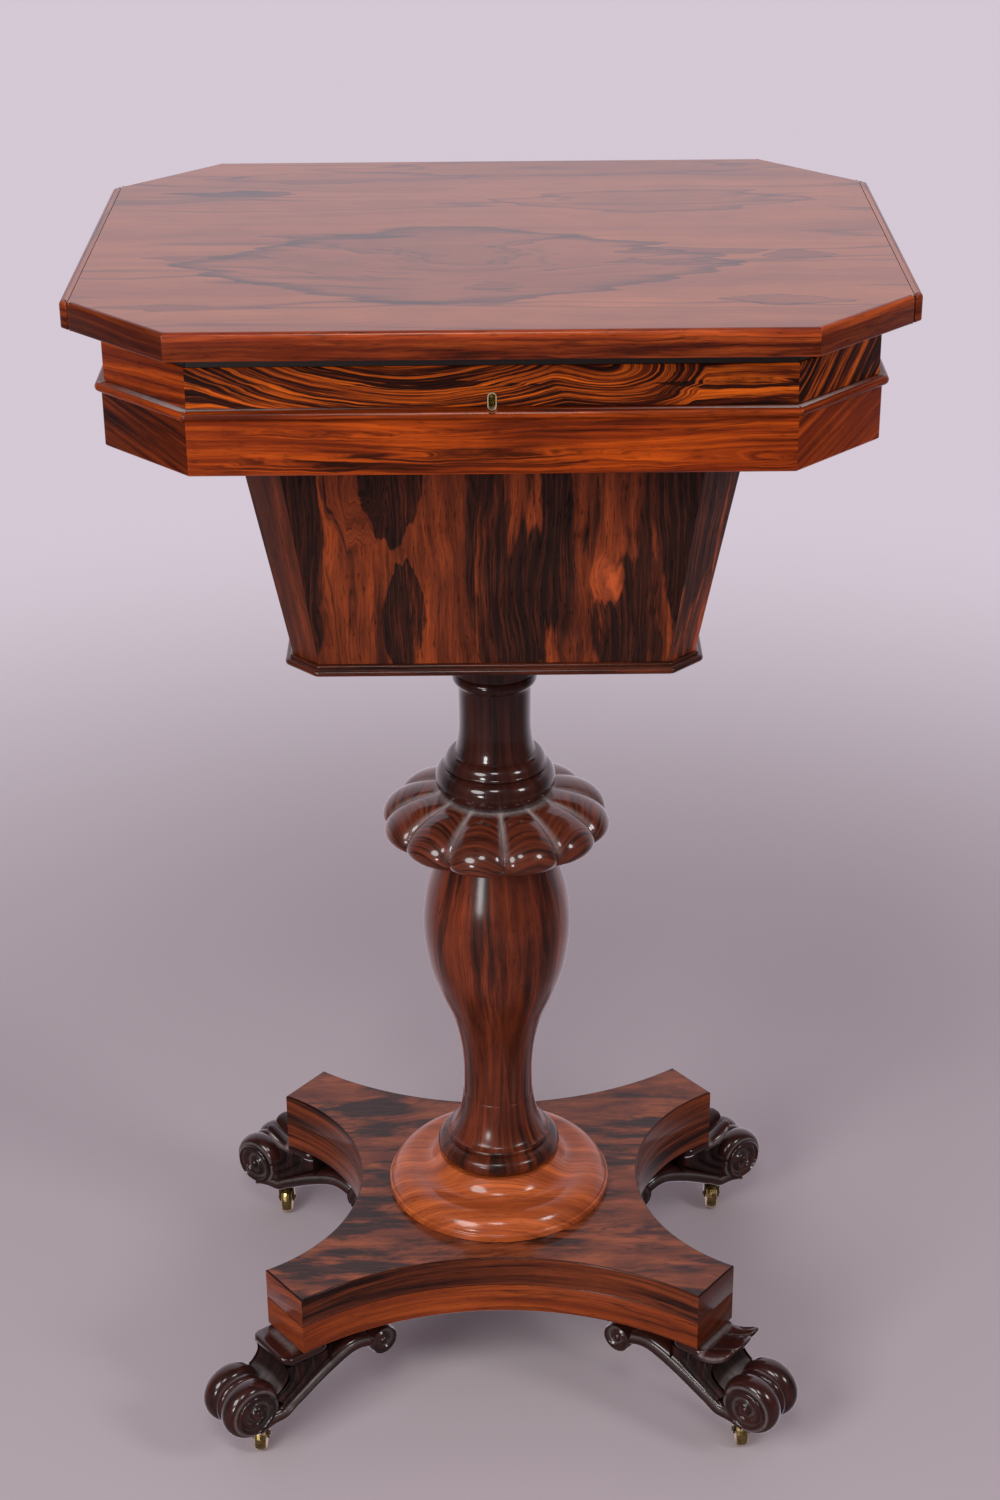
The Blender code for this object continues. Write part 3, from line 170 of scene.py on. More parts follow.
class Graph:
    """The node graph of one material or world."""

    def __init__(self, owner: Material | bpy.types.World) -> None:
        """Start an empty graph.

        Args:
            owner: the material or world that it belongs to.
        """
        self.owner = owner
        owner.use_nodes = True
        self.tree = owner.node_tree
        self.tree.nodes.clear()

    @classmethod
    def of_material(cls, name: str) -> Graph:
        """The graph of a new material."""
        return cls(bpy.data.materials.new(name))

    def node(self, kind: str, settings: dict | None = None, inputs: dict | None = None) -> bpy.types.Node:
        """Add any node.

        Args:
            kind: the node's type without its ShaderNode prefix.
            settings: its properties, set first.
            inputs: values or links for its sockets, by name or number.

        Returns:
            The node.
        """
        made = self.tree.nodes.new(f"ShaderNode{kind}")
        for key, setting in (settings or {}).items():
            setattr(made, key, setting)
        for key, given in (inputs or {}).items():
            socket = made.inputs[key]
            if isinstance(given, Value):
                self.tree.links.new(given.socket, socket)
            elif socket.type == "RGBA":
                socket.default_value = (*given, 1.0)
            else:
                socket.default_value = given
        return made

    def math(self, operation: str, *terms: Value | float) -> Value:
        """One Math node on values and numbers."""
        node = self.node("Math", {"operation": operation}, dict(enumerate(terms)))
        return Value(self, node.outputs[0])

    def split(self, socket: bpy.types.NodeSocket) -> tuple[Value, Value, Value]:
        """The three parts of a vector."""
        node = self.node("SeparateXYZ", None, {0: Value(self, socket)})
        return tuple(Value(self, out) for out in node.outputs)

    def noise(
        self,
        x: Value | float,
        y: Value | float,
        z: Value | float = 0.0,
        detail: float = 2.0,
        roughness: float = 0.5,
    ) -> Value:
        """Smooth noise whose features are about one unit across.

        Args:
            x, y, z: the place.
            detail, roughness: how many finer noises it has, and their strength.

        Returns:
            A value from 0 to 1.
        """
        place = self.node("CombineXYZ", None, {0: x, 1: y, 2: z})
        node = self.node(
            "TexNoise",
            {"noise_dimensions": "3D"},
            {"Vector": Value(self, place.outputs[0]), "Scale": 1.0, "Detail": detail, "Roughness": roughness},
        )
        return Value(self, node.outputs[0])

    def blend(self, factor: Value | float, first: Value | Color, second: Value | Color) -> Value:
        """Mix two colours.

        Args:
            factor: 0 for the first, 1 for the second.
            first, second: the colours.

        Returns:
            The mixture.
        """
        node = self.node(
            "Mix", {"data_type": "RGBA", "clamp_factor": True}, {"Factor": factor, 6: first, 7: second}
        )
        return Value(self, node.outputs[2])

    def shade(self, color: Value, amount: Value) -> Value:
        """Make a colour darker or lighter.

        Args:
            color: the colour.
            amount: what it is multiplied by.

        Returns:
            The shaded colour.
        """
        grey = self.node("CombineColor", None, {0: amount, 1: amount, 2: amount})
        node = self.node(
            "Mix",
            {"data_type": "RGBA", "blend_type": "MULTIPLY"},
            {"Factor": 1.0, 6: color, 7: Value(self, grey.outputs[0])},
        )
        return Value(self, node.outputs[2])

    def attribute(self, name: str) -> Value:
        """A number that the piece carries."""
        return Value(self, self.node("Attribute", {"attribute_name": name}).outputs["Fac"])

    def bump(self, height: Value, depth: float, strength: float = 1.0) -> Value:
        """A normal bent by a height of that depth in metres."""
        node = self.node("Bump", None, {"Height": height, "Distance": depth, "Strength": strength})
        return Value(self, node.outputs[0])

    def surface(self, **sockets: Value | float | Color) -> Material:
        """Close the graph with a Principled shader.

        Args:
            sockets: its sockets, with underscores for spaces.

        Returns:
            The finished material.
        """
        named = {key.replace("_", " "): given for key, given in sockets.items()}
        shader = self.node("BsdfPrincipled", None, named)
        self.node("OutputMaterial", None, {"Surface": Value(self, shader.outputs[0])})
        return self.owner


class Corner(Enum):
    """A corner of the platform, as its signs along X and Y."""

    FRONT_LEFT = (-1, -1)
    FRONT_RIGHT = (1, -1)
    BACK_LEFT = (-1, 1)
    BACK_RIGHT = (1, 1)

    @property
    def label(self) -> str:
        """The corner as it stands in the names of pieces."""
        return self.name.lower()


class LidFinish(IntEnum):
    """The finishes of the lid, by number."""

    TOP = 0
    EDGE = 1
    UNDER = 2


class BandFinish(IntEnum):
    """The finishes of the upper band, by number."""

    FIGURED = 0
    PLAIN = 1


class WellFinish(IntEnum):
    """The finishes of the well, by number."""

    OUTSIDE = 0
    INSIDE = 1


class PlatformFinish(IntEnum):
    """The finishes of the platform, by number."""

    TOP = 0
    ORANGE = 1
    DARK = 2


class FootFinish(IntEnum):
    """The finishes of a foot, by number."""

    CARVED = 0
    RECESS = 1


@dataclass(frozen=True)
class Grain:
    """One noise in the wood.

    Args:
        along, across: how many of its features stand in a metre along and across the grain.
        seed: what it adds to the board's seed.
        detail, roughness: how many finer noises it has, and their strength.
    """

    along: float
    across: float
    seed: float = 0.0
    detail: float = 2.0
    roughness: float = 0.5

    def noise(self, along: Value, across: Value, seed: Value) -> Value:
        """The noise at places along and across the grain, on a board with that seed."""
        own = seed + self.seed if self.seed else seed
        return seed.graph.noise(along * self.along, across * self.across, own, self.detail, self.roughness)


SWAY = Grain(5.0, 11.0)
WAVE = Grain(22.0, 70.0, 5.0, 3.0)
FLAME = Grain(9.0, 120.0, 8.0)
ZONE = Grain(6.0, 30.0, 11.2)
FIBRE = Grain(45.0, 1600.0)
FRAY = Grain(16.0, 620.0, 17.0, 3.0, 0.65)
PORE = Grain(130.0, 1100.0, 31.0, 1.0)
MOTTLE = Grain(34.0, 50.0, 41.0, 3.0)
DUST = Grain(300.0, 300.0, 0.0, 3.0)


@dataclass(frozen=True)
class Figure:
    """A closed figure in the wood that pushes the grain lines aside.

    Args:
        along, across: its centre.
        half_length, half_width: its reach along and across the grain.
        lift: how far it pushes the grain lines, in metres.
        depth: how much darker it is inside. A negative depth is lighter.
        edge: how dark the line round it is.
        soft: the share of the way to its centre over which it darkens.
        powers: the bend of its outline along and across. Large ones make it blunt, 1 makes it pointed.
        glow: how much brighter its middle is.
    """

    along: float
    across: float
    half_length: float
    half_width: float
    lift: float = 0.0
    depth: float = 0.0
    edge: float = 0.0
    powers: Pair = (1.7, 1.0)
    soft: float = 0.12
    glow: float = 0.0

    def reach(self, along: Value, across: Value) -> Value:
        """How far inside it a place is: one less a power of each share of its half length and half width.

        Args:
            along, across: the place.

        Returns:
            1 at its centre, 0 on its outline and below 0 outside.
        """
        end = abs((along - self.along) / self.half_length) ** self.powers[0]
        side = abs((across - self.across) / self.half_width) ** self.powers[1]
        return 1.0 - end - side


@dataclass(frozen=True)
class Rosewood:
    """Polished rosewood: bands of orange and red brown, near-black streaks and thin ink lines along the grain.

    Args:
        name: the material's name.
        light, mid, dark: the colours of its bands and streaks.
        ring: the width of a band.
        stretch: how fast the bands change along the grain.
        sway, wave: how far broad and fine waves push the grain lines.
        flame, ragged: how far the outlines of the figures are torn along and across the grain.
        cluster: how much the streaks gather.
        fray: how much the fibres break up the edges of the streaks.
        ember: how much brown shows inside the streaks.
        soak: how much darker the bands are inside a figure.
        spread: the band levels where the wood is light and where it is mid.
        dark_start, dark_full: the band levels where a streak starts and is full.
        veins, vein_ring: the strength and the distance of the ink lines.
        fibre, mottle, pores: the strength of the fine and the cloudy shading and of the short dark pores.
        roughness, polish, polish_roughness: of the wood, and the weight and roughness of its polish.
        dust, dust_color: how strongly dust covers it, and its colour.
        figures: the figures.
    """

    name: str
    light: Color
    mid: Color
    dark: Color
    ring: float = 0.007
    stretch: float = 3.0
    sway: float = 0.02
    wave: float = 0.003
    flame: float = 0.05
    ragged: float = 0.012
    cluster: float = 0.5
    fray: float = 0.16
    ember: float = 0.45
    soak: float = 0.0
    spread: Pair = (0.28, 0.60)
    dark_start: float = 0.52
    dark_full: float = 0.66
    veins: float = 0.6
    vein_ring: float = 0.010
    fibre: float = 0.30
    mottle: float = 0.25
    pores: float = 0.35
    roughness: float = 0.30
    polish: float = 0.6
    polish_roughness: float = 0.10
    dust: float = 0.0
    dust_color: Color = (0.34, 0.29, 0.28)
    figures: tuple[Figure, ...] = ()

    def build(self) -> Material:
        """Make the material.

        The grain lines are the levels of across, swayed by broad noise and pushed aside by each figure. Noise drawn
        out along those lines gives the bands, its middle levels the ink lines, and broad noise gathers the streaks.

        Returns:
            The material.
        """
        g = Graph.of_material(self.name)
        along, across, _ = g.split(g.node("UVMap", {"uv_map": "grain"}).outputs[0])
        seed = g.attribute("panel") * SEED_STEP
        sway = SWAY.noise(along, across, seed) - 0.5
        wave = WAVE.noise(along, across, seed) - 0.5
        line = across + sway * self.sway + wave * self.wave
        inside: Value | float = 0.0
        outline: Value | float = 0.0
        glow: Value | float = 1.0
        if self.figures:
            torn_along = along + (FLAME.noise(along, across, seed) - 0.5) * self.flame
            torn_across = across + wave * self.ragged
        for figure in self.figures:
            reach = figure.reach(torn_along, torn_across)
            line = line + reach.most(0.0) ** 1.5 * figure.lift
            inside = reach.rise(0.0, figure.soft) * figure.depth + inside
            if figure.edge:
                outline = reach.rise(-0.02, 0.02) * reach.rise(0.22, 0.02) * figure.edge + outline
            if figure.glow:
                glow = reach.rise(0.0, 1.0) * figure.glow + glow
        band = g.noise(along * self.stretch, line / self.ring, seed + BAND_SEED, 5.0, 0.62)
        vein = g.noise(along * self.stretch * 0.8, line / self.vein_ring, seed + VEIN_SEED)
        zone, fibre, fray = (kind.noise(along, line, seed) for kind in (ZONE, FIBRE, FRAY))
        pore = PORE.noise(along, line, seed).rise(0.60, 0.72)
        mottle = MOTTLE.noise(along, across, seed) - 0.5
        ink = (1.0 - abs(vein - 0.5) * 2.0).rise(0.945, 0.995) * zone.rise(0.30, 0.55) * self.veins
        level = band + (zone - 0.5) * self.cluster + (fray - 0.5) * self.fray + inside
        streak = level.rise(self.dark_start, self.dark_full)
        body = g.blend((band.rise(*self.spread) + inside * self.soak).least(1.0), self.light, self.mid)
        deep = g.blend(fray.rise(0.42, 0.72) * self.ember, self.dark, self.mid)
        color = g.blend((streak.most(ink) + outline).least(1.0), body, deep)
        fine = fibre + fray - 1.0
        grey = fine * (2.0 * self.fibre) + mottle * (2.0 * self.mottle) + glow - pore * self.pores
        color = g.shade(color, (grey * (g.attribute("tone") + 1.0)).most(DARKEST_SHADE))
        roughness = fibre * 0.08 + self.roughness
        if self.dust:
            patchy = DUST.noise(along, across, seed)
            dust = (g.attribute("dust") * (patchy * 1.1 + 0.4) * self.dust).least(1.0)
            color = g.blend(dust, color, self.dust_color)
            roughness = dust * 0.45 + roughness
        return g.surface(
            Base_Color=color,
            Roughness=roughness,
            Specular_IOR_Level=WOOD_SPECULAR,
            Coat_Weight=self.polish,
            Coat_Roughness=self.polish_roughness,
            Normal=g.bump(fibre + pore * 0.5, GRAIN_DEPTH, 0.5),
        )


@dataclass(frozen=True)
class Mahogany:
    """Plain mahogany of the inside: red brown, with short dark pores along X, and on the case a near-black outer lip
    painted as shade under the lid.
    """

    name: str
    light: Color
    dark: Color
    lip: Size | None = None
    lip_color: Color = (0.020, 0.008, 0.006)

    def build(self) -> Material:
        """Make the material.

        Where a lip is given, the colour turns near-black, as painted shade in the gap under the lid, within half a
        millimetre of the canted outline of half sizes lip[0] and lip[1] and cant sum lip[2]: the largest of the
        three distances to its sides.

        Returns:
            The material.
        """
        g = Graph.of_material(self.name)
        along, across, depth = g.split(g.node("TexCoord").outputs["Object"])
        line = across + depth + g.noise(along * 6.0, across * 20.0, depth * 20.0) * 0.012
        band = g.noise(along * 5.0, line * 140.0, depth * 9.0, 4.0, 0.6)
        pore = g.noise(along * 110.0, line * 2600.0, depth * 300.0, 1.0)
        color = g.blend(band.rise(0.3, 0.7), self.light, self.dark)
        color = g.shade(color, 1.05 - pore.rise(0.55, 0.75) * 0.45)
        if self.lip:
            half_x, half_y, corner = self.lip
            x, y = abs(along), abs(across)
            edge = (x - half_x).most(y - half_y).most((x + y - corner) * math.sqrt(0.5))
            # Painted shade: the outer lip of the case goes near-black where it shows under the lid.
            color = g.blend(edge.rise(-0.0009, -0.0004), color, self.lip_color)
        return g.surface(Base_Color=color, Roughness=pore * 0.15 + 0.36, Coat_Weight=0.15, Coat_Roughness=0.25)


@dataclass(frozen=True)
class Brass:
    """Aged brass, browner and rougher where it is less rubbed."""

    name: str
    bright: Color = (0.62, 0.43, 0.17)
    dull: Color = (0.26, 0.17, 0.07)
    roughness: float = 0.24

    def build(self) -> Material:
        """Make the material: patchy noise blends the bright and the dull metal.

        Returns:
            The material.
        """
        g = Graph.of_material(self.name)
        x, y, z = g.split(g.node("TexCoord").outputs["Object"])
        age = g.noise(x * 220.0, y * 220.0, z * 220.0, 4.0, 0.6).rise(0.42, 0.68)
        color = g.blend(age, self.bright, self.dull)
        return g.surface(Base_Color=color, Metallic=1.0, Roughness=age * 0.25 + self.roughness)


@dataclass
class Sheet:
    """A grid of points with its grain.

    Args:
        points: rows x columns x 3 places in metres.
        grain: rows x columns x 2 places along and across the wood.
        panel: the seed of the board that the sheet is cut from.
        dust: how much dust lies on each point, from 0 to 1.
        finish: the number of its finish on the piece.
        tone: how much lighter, or below 0 darker, its board is.
    """

    points: Array
    grain: Array
    panel: float = 0.0
    dust: Array | float = 0.0
    finish: int = 0
    tone: float = 0.0

    def quads(self, first: int) -> list[list[int]]:
        """Its faces: each joins four neighbouring points.

        Args:
            first: the number of its first point.

        Returns:
            The numbers of each face's points.
        """
        rows, cols = self.points.shape[:2]
        index = first + np.arange(rows * cols).reshape(rows, cols)
        corners = np.stack([index[:-1, :-1], index[:-1, 1:], index[1:, 1:], index[1:, :-1]], axis=-1)
        return corners.reshape(-1, 4).tolist()


@dataclass
class Plate(Sheet):
    """A flat face whose outline is the one row of its points."""

    def quads(self, first: int) -> list[list[int]]:
        """The corner numbers of its one face, counted from a first number."""
        return [list(range(first, first + self.points.shape[1]))]


def mesh_of(name: str, sheets: list[Sheet], sharp: float = SHARP_ANGLE) -> Mesh:
    """Join sheets into one mesh, weld the points they share and shade it smooth up to an angle.

    Args:
        name: the mesh's name.
        sheets: the grids.
        sharp: the angle above which an edge stays sharp.

    Returns:
        The mesh, with a UV map "grain" and the attributes "panel", "tone" and "dust".
    """
    counts = np.cumsum([0] + [s.points.shape[0] * s.points.shape[1] for s in sheets])
    quads = [s.quads(int(first)) for s, first in zip(sheets, counts)]
    points = np.concatenate([s.points.reshape(-1, 3) for s in sheets])
    grain = np.concatenate([s.grain.reshape(-1, 2) for s in sheets])
    dust = np.concatenate([np.broadcast_to(s.dust, s.points.shape[:2]).ravel() for s in sheets])
    corners = np.concatenate([np.asarray(sheet).ravel() for sheet in quads])
    sizes = [len(sheet) for sheet in quads]
    keys = ("panel", "tone", "finish")
    panels, tones, finishes = (np.repeat([getattr(s, key) for s in sheets], sizes) for key in keys)
    mesh = bpy.data.meshes.new(name)
    mesh.from_pydata(points.tolist(), [], [face for sheet in quads for face in sheet])
    mesh.uv_layers.new(name="grain").data.foreach_set("uv", grain[corners].astype(np.float32).ravel())
    for key, domain, values in (("panel", "FACE", panels), ("tone", "FACE", tones), ("dust", "POINT", dust)):
        mesh.attributes.new(key, "FLOAT", domain).data.foreach_set("value", values.astype(np.float32))
    mesh.polygons.foreach_set("material_index", finishes.astype(np.int32))
    shape = bmesh.new()
    shape.from_mesh(mesh)
    bmesh.ops.remove_doubles(shape, verts=shape.verts, dist=WELD)
    bmesh.ops.dissolve_degenerate(shape, edges=shape.edges, dist=WELD / 2)
    bmesh.ops.recalc_face_normals(shape, faces=shape.faces)
    shape.to_mesh(mesh)
    shape.free()
    mesh.shade_smooth()
    mesh.set_sharp_from_angle(angle=sharp)
    return mesh


@dataclass
class Ring:
    """A closed outline at one level, as one run of points for each of its panels, ends shared with the next.

    Args:
        runs: for each panel, its points (n x 3).
        steps: for each panel, the distance of each point round the outline.
        rounded: whether each run is a straight side between two half corners.
    """

    runs: list[Array]
    steps: list[Array]
    rounded: bool = False


@dataclass(frozen=True)
class Outline:
    """A closed flat outline: for each panel its points, its outward normals and its distances round the outline."""

    points: tuple[Array, ...]
    normals: tuple[Array, ...]
    steps: tuple[Array, ...]
    is_rounded: bool = False

    @classmethod
    def rounded(cls, corners: Array, radius: float, arcs: int = CORNER_STEPS) -> Outline:
        """Straight sides between corners, each corner rounded and shared half and half by its two sides.

        Args:
            corners: the corners, anticlockwise (n x 2).
            radius: the radius of the rounding.
            arcs: steps in half a corner.

        Returns:
            The outline.
        """
        sides = np.roll(corners, -1, axis=0) - corners
        lengths = np.linalg.norm(sides, axis=1)
        out = np.stack([sides[:, 1], -sides[:, 0]], axis=1) / lengths[:, None]
        before = np.roll(out, 1, axis=0)
        centres = corners - (before + out) * radius / (1 + np.sum(before * out, axis=1))[:, None]
        turn_in = np.arctan2(before[:, 1], before[:, 0])
        turn_out = np.arctan2(out[:, 1], out[:, 0])
        turn = (turn_out - turn_in + math.pi) % (2 * math.pi) - math.pi
        middle = turn_in + turn / 2
        share = np.linspace(0, 1, arcs + 1)
        starts = np.concatenate([[0], np.cumsum(lengths)])
        points, normals, steps = [], [], []
        for i in range(len(corners)):
            j = (i + 1) % len(corners)
            first = middle[i] + turn[i] / 2 * share
            last = turn_in[j] + turn[j] / 2 * share
            angles = np.concatenate([first, last])
            normal = np.stack([np.cos(angles), np.sin(angles)], axis=1)
            centre = np.repeat(centres[[i, j]], arcs + 1, axis=0)
            place = centre + radius * normal
            points.append(place)
            normals.append(normal)
            steps.append(starts[i] + walked(place))
        return cls(tuple(points), tuple(normals), tuple(steps), True)

    @classmethod
    def mitred(cls, runs: list[Array]) -> Outline:
        """Curved or straight sides that meet at sharp corners, whose normals there are the corner's mitre.

        Args:
            runs: the points of each side, anticlockwise (n x 2).

        Returns:
            The outline.
        """
        normals = []
        for run in runs:
            slope = np.gradient(run, axis=0)
            normal = np.stack([slope[:, 1], -slope[:, 0]], axis=1)
            normals.append(normal / np.linalg.norm(normal, axis=1)[:, None])
        mitred = [n.copy() for n in normals]
        for i, normal in enumerate(normals):
            after = normals[(i + 1) % len(normals)]
            mitre = (normal[-1] + after[0]) / (1 + normal[-1] @ after[0])
            mitred[i][-1] = mitre
            mitred[(i + 1) % len(normals)][0] = mitre
        steps, start = [], 0.0
        for run in runs:
            steps.append(start + walked(run))
            start = steps[-1][-1]
        return cls(tuple(runs), tuple(mitred), tuple(steps))

    def ring(self, level: float, offset: float = 0.0, scale: tuple[float, ...] | None = None) -> Ring:
        """The outline at a level, with each point moved along its normal by an offset.

        Args:
            level: its height.
            offset: how far it moves outwards.
            scale: what each panel multiplies the offset by. Neighbours meet half way.

        Returns:
            The ring.
        """
        runs = []
        count = len(self.points)
        for i, (place, normal) in enumerate(zip(self.points, self.normals)):
            share = np.ones(len(place))
            if scale:
                half = len(place) // 2
                ends = ((scale[i - 1] + scale[i]) / 2, (scale[i] + scale[(i + 1) % count]) / 2)
                share = np.concatenate(
                    [np.linspace(ends[0], scale[i], half), np.linspace(scale[i], ends[1], len(place) - half)]
                )
            flat = place + normal * (offset * share)[:, None]
            runs.append(np.column_stack([flat, np.full(len(flat), level)]))
        return Ring(runs, list(self.steps), self.is_rounded)


def loft(rings: list[Ring], upright: bool = False, finish: int = 0) -> list[Sheet]:
    """Carry an outline through its rings: row k of each panel's sheet is that panel's run in ring k.

    Args:
        rings: the rings, from the bottom up.
        upright: whether the grain runs up the panel rather than round the outline.
        finish: the number of the finish.

    Returns:
        One sheet for each panel, whose number is its seed.
    """
    sheets = []
    for i in range(len(rings[0].runs)):
        points = np.stack([ring.runs[i] for ring in rings])
        rise = np.linalg.norm(np.diff(points, axis=0), axis=2).mean(axis=1)
        height = points[0, :, 2].mean() + np.concatenate([[0], np.cumsum(rise)])
        middle = rings[0].steps[i][[0, -1]].mean()
        round_it = np.stack([ring.steps[i] - ring.steps[i][[0, -1]].mean() + middle for ring in rings])
        up = np.broadcast_to(height[:, None], points.shape[:2])
        grain = np.stack([up, round_it] if upright else [round_it, up], axis=-1)
        sheets.append(Sheet(points, grain, float(i), 0.0, finish))
    return sheets


def cap(ring: Ring, up: bool, finish: int = 0, panel: float = 0.0) -> list[Sheet]:
    """Close a ring with a flat face inside a narrow border, which keeps the rounded edge's shading off the face.

    Args:
        ring: the outline.
        up: whether the face looks up.
        finish: the number of the finish.
        panel: the seed of its board.

    Returns:
        The face and its border. The border's rows are a panel's run and the same shrunk towards the centre. A run of
        a rounded outline shrinks to a straight line between its corners.
    """
    centre = np.concatenate(ring.runs).mean(axis=0)
    sheets, corners = [], []
    for run in ring.runs:
        inner = run + (centre - run) * CAP_BORDER
        if ring.rounded:
            half = len(run) // 2
            inner = np.concatenate([np.repeat(inner[:1], half, 0), np.repeat(inner[-1:], len(run) - half, 0)])
            corners.append(inner[:1])
        else:
            corners.append(inner[:-1])
        rows = np.stack([run, inner] if up else [inner, run])
        sheets.append(Sheet(rows, rows[..., :2].copy(), panel, 0.0, finish))
    face = np.concatenate(corners)[None, :: 1 if up else -1]
    return [Plate(face, face[..., :2].copy(), panel, 0.0, finish), *sheets]


def bridge(inner: Ring, outer: Ring, up: bool, finish: int = 0, dust: float = 0.0) -> list[Sheet]:
    """A flat rim between two rings of one level.

    Args:
        inner, outer: the rings.
        up: whether it looks up.
        finish: the number of the finish.
        dust: how much dust lies on it.

    Returns:
        One sheet for each panel.
    """
    first, last = (outer, inner) if up else (inner, outer)
    sheets = []
    for a, b in zip(first.runs, last.runs):
        points = np.stack([a, b])
        sheets.append(Sheet(points, points[..., :2].copy(), 0.0, dust, finish))
    return sheets


def walked(run: Array) -> Array:
    """The distance walked along a run of points, at each of them."""
    return np.concatenate([[0], np.cumsum(np.linalg.norm(np.diff(run, axis=0), axis=1))])


def swung(grain: Array, cosine: float, sine: float) -> Array:
    """Grain turned about: along takes a share of across, and across gives up as much of along."""
    along, across = grain[..., 0], grain[..., 1]
    return np.stack([along * cosine + across * sine, across * cosine - along * sine], axis=-1)


def fan(row: Array, grain: Array, panel: float = 0.0) -> Sheet:
    """A flat end: a sheet from a closed row of points to the middle of them."""
    middle = np.broadcast_to(row.mean(axis=0), row.shape)
    return Sheet(np.stack([row, middle]), np.stack([grain, grain]), panel)


def arc(centre: Pair, radii: Pair, start: float, end: float, steps: int) -> Array:
    """Points on an ellipse about a centre, from one angle to another in degrees."""
    turn = np.radians(np.linspace(start, end, steps + 1))
    return np.column_stack([centre[0] + radii[0] * np.cos(turn), centre[1] + radii[1] * np.sin(turn)])


def lifted(bead: Bead, level: float) -> Array:
    """The arc of a bead, (centre, radii, start, end, steps), with its centre raised by a level."""
    (out, rise), *shape = bead
    return arc((out, level + rise), *shape)


def smooth_run(points: list[Pair] | tuple[Pair, ...], per_span: int) -> Array:
    """A Catmull-Rom curve: between two points, the cubic whose slopes are half the step between their neighbours.

    Args:
        points: the points that it goes through.
        per_span: steps from one point to the next.

    Returns:
        The curve's points.
    """
    known = np.asarray([points[0], *points, points[-1]], float)
    t = np.linspace(0, 1, per_span, endpoint=False)[None, :, None]
    a, b, c, d = (known[i : len(known) - 3 + i, None] for i in range(4))
    run = 0.5 * (2 * b + (c - a) * t + (2 * a - 5 * b + 4 * c - d) * t**2 + (3 * b - a - 3 * c + d) * t**3)
    return np.concatenate([run.reshape(-1, known.shape[1]), known[-1:]])


def turned(
    profile: Array,
    panels: int = 1,
    steps: int = 96,
    seed: float = 0.0,
    start: float = math.pi / 2,
    twist: Array | float = 0.0,
) -> list[Sheet]:
    """Turn a profile about Z: each point is (radius cos t, radius sin t, height). The grain runs up the profile.

    Args:
        profile: (radius, height) pairs from the bottom of the outside to its top.
        panels: equal upright strips round it, each with its own seed.
        steps: columns all the way round.
        seed: the first strip's seed.
        start: the angle of the first strip's edge.
        twist: how far each row of the profile is turned.

    Returns:
        One sheet for each strip.
    """
    radius, height = profile[:, :1], profile[:, 1:]
    twist = np.broadcast_to(twist, len(profile))[:, None]
    sheets = []
    for i in range(panels):
        turn = start + 2 * math.pi * np.linspace(i, i + 1, steps // panels + 1) / panels
        angle = turn + twist
        level = np.broadcast_to(height, angle.shape)
        points = np.stack([radius * np.cos(angle), radius * np.sin(angle), level], axis=-1)
        up = np.broadcast_to(walked(profile)[:, None], angle.shape)
        sheets.append(Sheet(points, np.stack([up, angle * radius.max()], axis=-1), seed + i))
    return sheets


def canted(half_x: float, half_y: float, cant: float) -> Array:
    """A rectangle with its corners cut off at 45 degrees.

    Args:
        half_x, half_y: its half sizes.
        cant: how much a cut takes off each side.

    Returns:
        Its eight corners, anticlockwise from the left end of the front.
    """
    x, y, c = half_x, half_y, cant
    return np.array(
        [(-x + c, -y), (x - c, -y), (x, -y + c), (x, y - c), (x - c, y), (-x + c, y), (-x, y - c), (-x, -y + c)]
    )


def inset(size: Size, distance: float) -> Size:
    """A canted rectangle's half sizes and cant after every side moves inwards."""
    return size[0] - distance, size[1] - distance, size[2] - distance * (2 - math.sqrt(2))


def show(
    name: str,
    shape: Mesh | list[Sheet],
    finishes: list[Material],
    nodes: list[str],
    body: str = "stand",
) -> None:
    """Put a piece into the scene on a CAD body, in place of CAD nodes.

    Args:
        name: the piece's name.
        shape: its mesh, in place, or the sheets to make it from.
        finishes: its materials.
        nodes: the CAD nodes that it stands for.
        body: the CAD body that it rides on.
    """
    mesh = mesh_of(f"{name}_shape", shape) if isinstance(shape, list) else shape
    for finish in finishes:
        mesh.materials.append(finish)
    piece = bpy.data.objects.new(name, mesh)
    bpy.context.scene.collection.objects.link(piece)
    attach(piece, body)
    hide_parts(*nodes)
    LOG.info("%s: %d faces for %s", name, len(mesh.polygons), ", ".join(nodes))


def carve(mesh: Mesh, cutters: list[Mesh]) -> Mesh:
    """Take closed shapes out of a closed mesh with exact Booleans, and keep its grain.

    Args:
        mesh: the mesh.
        cutters: the shapes.

    Returns:
        The carved mesh.
    """
    piece = bpy.data.objects.new("carved", mesh)
    bpy.context.scene.collection.objects.link(piece)
    tools = []
    for cutter in cutters:
        tool = bpy.data.objects.new("cutter", cutter)
        bpy.context.scene.collection.objects.link(tool)
        step = piece.modifiers.new("cut", "BOOLEAN")
        step.operation = "DIFFERENCE"
        step.solver = "EXACT"
        step.object = tool
        tools.append(tool)
    bpy.context.view_layer.update()
    made = bpy.data.meshes.new_from_object(piece.evaluated_get(bpy.context.evaluated_depsgraph_get()))
    for item in (piece, *tools):
        bpy.data.objects.remove(item, do_unlink=True)
    made.set_sharp_from_angle(angle=SHARP_ANGLE)
    return made


def block(low: Size, high: Size) -> Mesh:
    """A closed square box, as a cutter.

    Args:
        low, high: its lowest and its highest corner.

    Returns:
        Its mesh.
    """
    corners = np.array([low[:2], (high[0], low[1]), high[:2], (low[0], high[1])])
    outline = Outline.rounded(corners, HAIR, 1)
    rings = [outline.ring(low[2]), outline.ring(high[2])]
    return mesh_of("block", [*loft(rings), *cap(rings[0], False), *cap(rings[1], True)])


